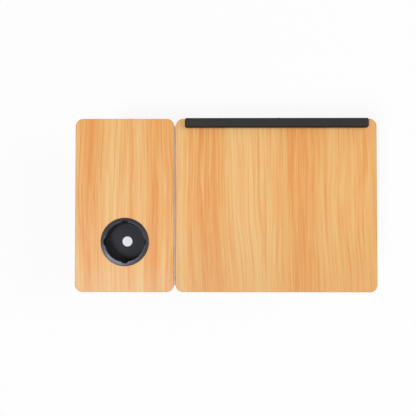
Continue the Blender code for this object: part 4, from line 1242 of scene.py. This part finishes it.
@dataclass
class Leg:
    """The fittings of one leg: hinge block, pin, button, spring, clamp collar, lever and foot pad.

    Sections are points of (radius, distance along the axis). The barrel, the brace's boss and the ears are
    spans from the leg's station, and keys and thumb ribs are given as half their size.
    """

    side: Side
    row: Row
    barrel_radius: float = 0.0105
    barrel: tuple[float, ...] = (-0.0115, -0.0038, 0.0115)
    neck: Box = ((-0.0086, -0.0086, -0.0160), (0.0086, 0.0086, -0.0077))
    neck_edge: float = 0.0024
    socket_length: float = 0.036
    socket: Outline = ((0.0093, 0), (0.0106, 0), (0.0110, 0.0004), (0.0110, 0.0042), (0.0104, 0.0048),
                       (0.0104, 0.0226), (0.0094, 0.0244), (0.0078, 0.0250), (0.0053, 0.0250),
                       (0.0053, 0.0220), (0.0093, 0.0220))
    key: Vec3 = (0.00055, 0.0012, 0.0090)
    key_place: Pair = (0.01035, -0.023)
    key_edge: float = 0.0004
    brace_drop: float = 0.025
    brace_boss: Pair = (0.0095, 0.019)
    brace_radius: float = 0.008
    brace_bore: float = 0.0062
    boss_edge: float = 0.0006
    pin: Outline = ((0, 0), (0.0025, 0.0001), (0.0045, 0.0005), (0.0050, 0.0009), (0.0050, 0.0015),
                    (0.0030, 0.0015), (0.0030, 0.0330), (0.0024, 0.0336), (0, 0.0336))
    button_skirt: Outline = ((0, 0.0133), (PIN_HOLE, 0.0133), (PIN_HOLE, 0), (0.0066, 0), (0.0070, 0.0004))
    button_rim: Vec3 = (0.0058, 0.0151, 0.0012)
    button_face: Outline = ((0.0050, 0.0162), (0.0038, 0.0157), (0.0021, 0.0153), (0, 0.0152))
    button_travel: float = 0.003
    spring_wire: float = 0.00055
    spring_turns: int = 6
    turn_steps: int = 16
    collar_section: Outline = ((0.0078, 0), (0.0106, 0), (0.0112, 0.0006), (0.0112, 0.0035),
                               (0.0107, 0.0040), (0.0107, 0.0195), (0.0112, 0.0200), (0.0112, 0.0234),
                               (0.0106, 0.0240), (0.0093, 0.0240), (0.0093, 0.0100), (0.0078, 0.0100))
    collar_rib: Box = ((0.0103, -0.0005, 0.0036), (0.0112, 0.0005, 0.0199))
    collar_ribs: int = 11
    rib_edge: float = 0.0002
    ear: Pair = (0.0063, 0.0088)
    ear_radius: float = 0.005
    ear_root: float = 0.00375
    eye_radius: float = 0.0023
    lever_pivot: Pair = (0.0155, 0.0568)
    lever_radius: float = 0.004
    lever_half: float = 0.006
    lever_edge: float = 0.0007
    lever_tip: Outline = ((0.0, 0.0240), (0.0003, 0.0285), (0.0013, 0.0318), (0.0040, 0.0358),
                          (0.0036, 0.0366), (0.0026, 0.0370), (0.0014, 0.0368), (-0.0016, 0.0340),
                          (-0.0034, 0.0312), (-0.0040, 0.0285))
    thumb_rib: Vec3 = (0.00055, 0.0042, 0.0005)
    thumb_ribs: tuple[float, ...] = (0.0165, 0.0193, 0.0221, 0.0249)
    thumb_sink: float = 0.00005
    trunnion: float = 0.002
    trunnion_edge: float = 0.0003
    foot_bar_z: float = 0.0108
    pad_corner: float = 0.002
    pad_edge: float = 0.0004
    pad_groove: float = 0.0006
    groove_width: float = 0.0014
    pad_ribs: int = 6

    def __post_init__(self) -> None:
        """Notes the leg's name, its bodies, and where it stands."""
        self.name = f"{self.side.label}_{self.row.label}"
        self.upper, self.lower = f"{self.side.label}_upper_leg", f"{self.side.label}_lower_leg"
        self.sign, self.out = self.side.sign, self.row.sign
        self.x, self.station = middle(f"{self.side.label}_foot_frame").x, self.row.sign * STATION
        self.lever_axis = (self.x + self.sign * self.lever_pivot[0], self.lever_pivot[1])

    def outwards(self, outline: Outline) -> Points:
        """Points about the lever's axis, moved to this leg with their first distance outwards."""
        x, z = self.lever_axis
        return [(x + self.sign * along, z + up) for along, up in outline]

    def on_hinge(self, piece: Piece, profile: Outline, steps: int) -> Piece:
        """Adds a shape that is turned about the hinge, from the inner end of its CAD node outwards."""
        foot = piece.low.y if self.out > 0 else piece.high.y
        return piece.add(turned(profile, (self.x, foot, PIVOT_Z), (0, self.out, 0), steps))

    def knuckle(self) -> None:
        """The hinge block at the top of the leg: barrel, socket and brace boss."""
        piece = Piece(f"{self.name}_knuckle", "block", [BLACK_PLASTIC])
        x, station, out = self.x, self.station, self.out
        spans = [station + out * reach for reach in self.barrel]
        for near, far, hole in zip(spans, spans[1:], (PIN_HOLE, BUTTON_HOLE)):
            outlines = [ring((x, PIVOT_Z), self.barrel_radius, 40), ring((x, PIVOT_Z), hole)]
            piece.add(prism(outlines, Axis.Y, near, far))
        hinge = Vector((x, station, PIVOT_Z))
        piece.add(block(*(hinge + Vector(corner) for corner in self.neck), self.neck_edge))
        piece.add(turned(self.socket, hinge + DOWN * self.socket_length))
        near, far = (station - out * reach for reach in self.brace_boss)
        brace = (x, PIVOT_Z - self.brace_drop)
        piece.add(tube(Axis.Y, near, far, brace, self.brace_radius, self.brace_bore, self.boss_edge, 36))
        for way in (-1, 1):
            place = hinge + Vector((way * self.key_place[0], 0, self.key_place[1]))
            piece.add(slab(place, self.key, self.key_edge))
        piece.place(self.upper, "frame_plastic")

    def hinge(self) -> None:
        """The hinge pin and the fold button that runs on it."""
        pin = Piece(f"{self.name}_hinge_pin", "turned", [ZINC])
        self.on_hinge(pin, self.pin, 28).place("frame", "zinc_steel")
        button = Piece(f"{self.name}_fold_button", "cap", [GREY_PLASTIC])
        profile = [*self.button_skirt, *arc(self.button_rim, self.button_rim[2], 0, 90, 5)]
        profile += self.button_face
        self.on_hinge(button, profile, 44).place(f"{self.name}_button", "grey_plastic")

    def spring(self) -> None:
        """The coil that pushes the fold button out."""
        piece, wire = Piece(f"{self.name}_fold_spring", "coil", [ZINC]), self.spring_wire
        x, low, length, steps = self.x, piece.low, piece.size.y, self.spring_turns * self.turn_steps
        coil, rise = bmesh.new(), (0, (length - 2 * wire) / steps, 0)
        loose_circle(coil, (x + piece.size.z / 2 - wire, low.y + wire, PIVOT_Z), wire, 10)
        bmesh.ops.spin(coil, geom=coil.verts[:] + coil.edges[:], cent=(x, low.y, PIVOT_Z), axis=(0, 1, 0),
                       dvec=rise, angle=math.tau * self.spring_turns, steps=steps)
        bmesh.ops.holes_fill(coil, edges=[edge for edge in coil.edges if edge.is_boundary])
        spring = piece.add(coil).place("frame", "zinc_steel")
        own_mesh(spring)

    def collar(self) -> None:
        """The clamp collar at the foot of an upper tube, with ribs for grip and ears for its lever."""
        piece = Piece(f"{self.name}_clamp_collar", "moulding", [BLACK_PLASTIC])
        foot = (self.x, self.station, piece.low.z)
        piece.add(turned(self.collar_section, foot, steps=48))
        for step in range(self.collar_ribs):
            angle = math.radians(step * 180 / (self.collar_ribs - 1) + self.sign * 90)
            rib = block(*self.collar_rib, self.rib_edge, 1)
            rib.transform(Matrix.Translation(foot) @ Matrix.Rotation(angle, 4, "Z"))
            piece.add(rib)
        radius, root = self.ear_radius, self.x + self.sign * self.ear_root
        outline = [(root, self.lever_axis[1] + up) for up in (radius, -radius)]
        outline += self.outwards(arc((0, 0), radius, -90, 90, 18))
        for way in (-1, 1):
            near, far = (self.station + way * reach for reach in self.ear)
            piece.add(prism([outline, ring(self.lever_axis, self.eye_radius)], Axis.Y, near, far))
        piece.place(self.upper, "frame_plastic")

    def lever(self) -> None:
        """The flip lever that tightens the collar, with its trunnions and thumb ribs."""
        piece = Piece(f"{self.name}_clamp_lever", "moulding", [GREY_PLASTIC])
        (x, z), station, half = self.lever_axis, self.station, self.lever_half
        outline = self.outwards(arc((0, 0), self.lever_radius, 180, 450, 26) + list(self.lever_tip))
        piece.add(prism([outline], Axis.Y, station - half, station + half, self.lever_edge, 3))
        piece.add(tube(Axis.Y, piece.low.y, piece.high.y, self.lever_axis, self.trunnion,
                       chamfer=self.trunnion_edge, steps=24))
        sunk = x - self.sign * self.thumb_sink
        for up in self.thumb_ribs:
            piece.add(slab((sunk, station, z + up), self.thumb_rib, self.rib_edge))
        piece.place(f"{self.name}_lever", "grey_plastic")

    def pad(self) -> None:
        """The ribbed rubber shoe round the foot bar, flat underneath."""
        piece, corner = Piece(f"{self.name}_foot_pad", "shoe", [RUBBER]), self.pad_corner
        x, low, high = self.x, piece.low, piece.high
        pitch = (high.y - low.y + self.groove_width) / self.pad_ribs
        starts = [low.y + step * pitch for step in range(self.pad_ribs)]
        spans = [(self.pad_groove, low.y + EASE, high.y - EASE, 0.0)]
        spans += [(0.0, start, start + pitch - self.groove_width, self.pad_edge) for start in starts]
        for less, start, end, edge in spans:
            half, sole = piece.size.x / 2 - less, less + corner
            outline = arc((x, self.foot_bar_z), half, 0, 180, 30)
            outline += arc((x - half + corner, sole), corner, 180, 270, 6)
            outline += arc((x + half - corner, sole), corner, 270, 360, 6)
            piece.add(prism([outline], Axis.Y, start, end, edge))
        piece.place(self.lower, "foot_rubber")

    def build(self) -> None:
        """Builds the leg's fittings."""
        for build in (self.knuckle, self.hinge, self.spring, self.collar, self.lever, self.pad):
            build()


@dataclass
class LegPair:
    """A folding pair of legs: upper tubes, brace, the foot frame that slides in the tubes, and fittings."""

    side: Side
    tube_wall: float = 0.0012
    brace_wall: float = 0.001
    bend_radius: float = 0.030
    bend_z: float = 0.0408
    mouth: float = 0.012

    def foot_frame(self) -> None:
        """The bent tube: down one leg, along the foot bar and up the other leg."""
        piece = Piece(f"{self.side.label}_foot_frame", "bent_tube", [UPRIGHT_TUBE])
        x, top, inner = piece.middle.x, piece.high.z, STATION - self.bend_radius
        fall, bar = top - self.bend_z, bmesh.new()
        edges = loose_circle(bar, (x, STATION, top), piece.size.x / 2, 36)
        for run, bend_y in ((DOWN * fall, inner), (Axis.Y.point(-2 * inner), -inner), (-DOWN * fall, None)):
            grown = bmesh.ops.extrude_edge_only(bar, edges=edges)["geom"]
            verts = [item for item in grown if isinstance(item, bmesh.types.BMVert)]
            bmesh.ops.translate(bar, verts=verts, vec=run)
            if bend_y is not None:
                edges = list({edge for vert in verts for edge in vert.link_edges if edge.is_boundary})
                grown = bmesh.ops.spin(bar, geom=edges, cent=(x, bend_y, self.bend_z), axis=(1, 0, 0),
                                       dvec=(0, 0, 0), angle=-QUARTER, steps=14)["geom_last"]
                edges = [item for item in grown if isinstance(item, bmesh.types.BMEdge)]
        bmesh.ops.remove_doubles(bar, verts=bar.verts, dist=WELD)
        bmesh.ops.holes_fill(bar, edges=[edge for edge in bar.edges if edge.is_boundary])
        bmesh.ops.recalc_face_normals(bar, faces=bar.faces)
        for face in [face for face in bar.faces if len(face.verts) > 20]:
            bmesh.ops.inset_region(bar, faces=[face], thickness=self.tube_wall, use_even_offset=True)
            bmesh.ops.translate(bar, verts=face.verts, vec=DOWN * self.mouth)
        piece.add(bar).place(f"{self.side.label}_lower_leg", "leg_aluminium")

    def build(self) -> None:
        """Builds the whole pair."""
        label = self.side.label
        tubes = [(f"{label}_{row.label}_upper_tube", UPRIGHT_TUBE, Axis.Z, self.tube_wall, 48)
                 for row in Row]
        tubes.append((f"{label}_leg_brace", LEVEL_TUBE, Axis.Y, self.brace_wall, 40))
        for node, *sizes in tubes:
            tube_piece(node, "drawn", *sizes).place(f"{label}_upper_leg", "leg_aluminium")
        self.foot_frame()
        for row in Row:
            Leg(self.side, row).build()


# Studio


@dataclass(frozen=True)
class Softbox:
    """A square lamp that faces the table: its width in metres and its power in watts."""

    name: str
    place: Vec3
    width: float
    power: float
    colour: Vec3 = WHITE
    lights_matt: bool = True
    target: Vec3 = (0.0, 0.0, 0.2)

    def build(self) -> None:
        """Hangs the lamp."""
        data = bpy.data.lights.new(self.name, "AREA")
        data.size, data.energy, data.color = self.width, self.power, self.colour
        turn = (Vector(self.target) - Vector(self.place)).to_track_quat("-Z", "Y").to_euler()
        put(self.name, data, self.place, turn).visible_diffuse = self.lights_matt


@dataclass
class Studio:
    """The camera over the table, soft lamps, and a white floor that keeps the table's shadow."""

    camera_place: Vec3 = (-0.0235, -0.0415, 1.540)
    camera_turn: Vec3 = (1.579, 0.526, 0.015)
    lens: float = 56.65
    floor_size: float = 8.0
    floor_z: float = -0.0005
    floor_glow: float = 0.88
    floor_fade: Pair = (0.8, 2.6)
    shade_reach: Pair = (0.30, 0.17)
    shade_edge: Pair = (0.5, 1.1)
    shade_tint: Vec3 = (0.72, 0.74, 0.83)
    sky: float = 0.28
    lamps: tuple[Softbox, ...] = (
        Softbox("key softbox", (-1.60, -1.75, 6.95), 1.50, 254.0, (0.98, 0.99, 1.0)),
        Softbox("reflection card", (-1.42, -1.04, 2.94), 0.95, 34.0, (0.84, 0.87, 1.0), False),
        Softbox("fill softbox", (2.9, 0.3, 3.7), 1.6, 54.0))

    def seen(self, graph: Graph) -> Socket:
        """One for rays from the camera, a glossy face or a clear one, and nought for the rest."""
        rays = [graph.add("LightPath", f"Is {kind} Ray") for kind in ("Camera", "Glossy", "Transmission")]
        return graph.math("MAXIMUM", graph.math("MAXIMUM", rays[0], rays[1]), rays[2])

    def camera(self) -> None:
        """Places the camera at the photograph's viewing angle."""
        data = bpy.data.cameras.new("camera")
        data.lens, data.sensor_width = self.lens, 36.0
        turn = [math.radians(angle) for angle in self.camera_turn]
        bpy.context.scene.camera = put("camera", data, self.camera_place, turn)

    def world(self) -> None:
        """A soft white sky, seen as plain white."""
        world = bpy.data.worlds.new("sky")
        world.use_nodes = True
        world.node_tree.nodes.clear()
        graph = Graph(world.node_tree)
        soft, plain = (graph.add("Background", Color=WHITE, Strength=level) for level in (self.sky, 1.0))
        graph.add("OutputWorld", Surface=graph.add("MixShader", i0=self.seen(graph), i1=soft, i2=plain))
        bpy.context.scene.world = world

    def glow(self, graph: Graph) -> Socket:
        """The floor's glow: white, and cooler and dimmer where the table keeps the light off it.

        Args:
            graph: the floor material's graph.

        Returns:
            The glow's colour.
        """
        split = graph.add("SeparateXYZ", Vector=graph.add("TexCoord", "Object")).node
        covers = []
        for axis, reach in zip("XY", self.shade_reach):
            near, far = (reach * share for share in self.shade_edge)
            covers.append(graph.spread(graph.math("ABSOLUTE", split.outputs[axis]), near, far, 1.0, 0.0))
        cover = graph.math("MULTIPLY", *covers)
        return graph.add("Mix", 2, {"data_type": "RGBA"}, i0=cover, i6=WHITE, i7=self.shade_tint)

    def floor(self) -> None:
        """A wide floor that shows white and takes the table's soft shadow."""
        sheet, mesh = bmesh.new(), bpy.data.meshes.new("floor")
        bmesh.ops.create_grid(sheet, x_segments=1, y_segments=1, size=self.floor_size,
                              matrix=Matrix.Translation((0, 0, self.floor_z)))
        sheet.to_mesh(mesh)
        sheet.free()
        material = bpy.data.materials.new("floor")
        material.use_nodes = True
        material.node_tree.nodes.clear()
        graph = Graph(material.node_tree)
        place = graph.add("TexCoord", "Object")
        reach = graph.add("VectorMath", "Value", {"operation": "LENGTH"}, i0=place)
        fade = graph.spread(reach, *self.floor_fade, self.floor_glow, 1.0, "LINEAR")
        share = graph.math("MULTIPLY", self.seen(graph), fade)
        matt, light = graph.add("BsdfDiffuse", Color=WHITE), graph.add("Emission", Color=self.glow(graph))
        graph.add("OutputMaterial", Surface=graph.add("MixShader", i0=share, i1=matt, i2=light))
        mesh.materials.append(material)
        put("floor", mesh)

    def build(self) -> None:
        """Sets up the whole studio."""
        bpy.context.scene.view_settings.view_transform = "Standard"
        self.camera()
        self.world()
        self.floor()
        for lamp in self.lamps:
            lamp.build()


def main() -> None:
    """Builds the table piece by piece, then the studio."""
    logging.basicConfig(level=logging.INFO, format="%(name)s: %(message)s")
    for part in (Boards(), CupHolder(), StopperBar(), TopFrame(), TiltMechanism(), LegPair(Side.LEFT),
                 LegPair(Side.RIGHT), Studio()):
        part.build()


if __name__ == "__main__":
    main()
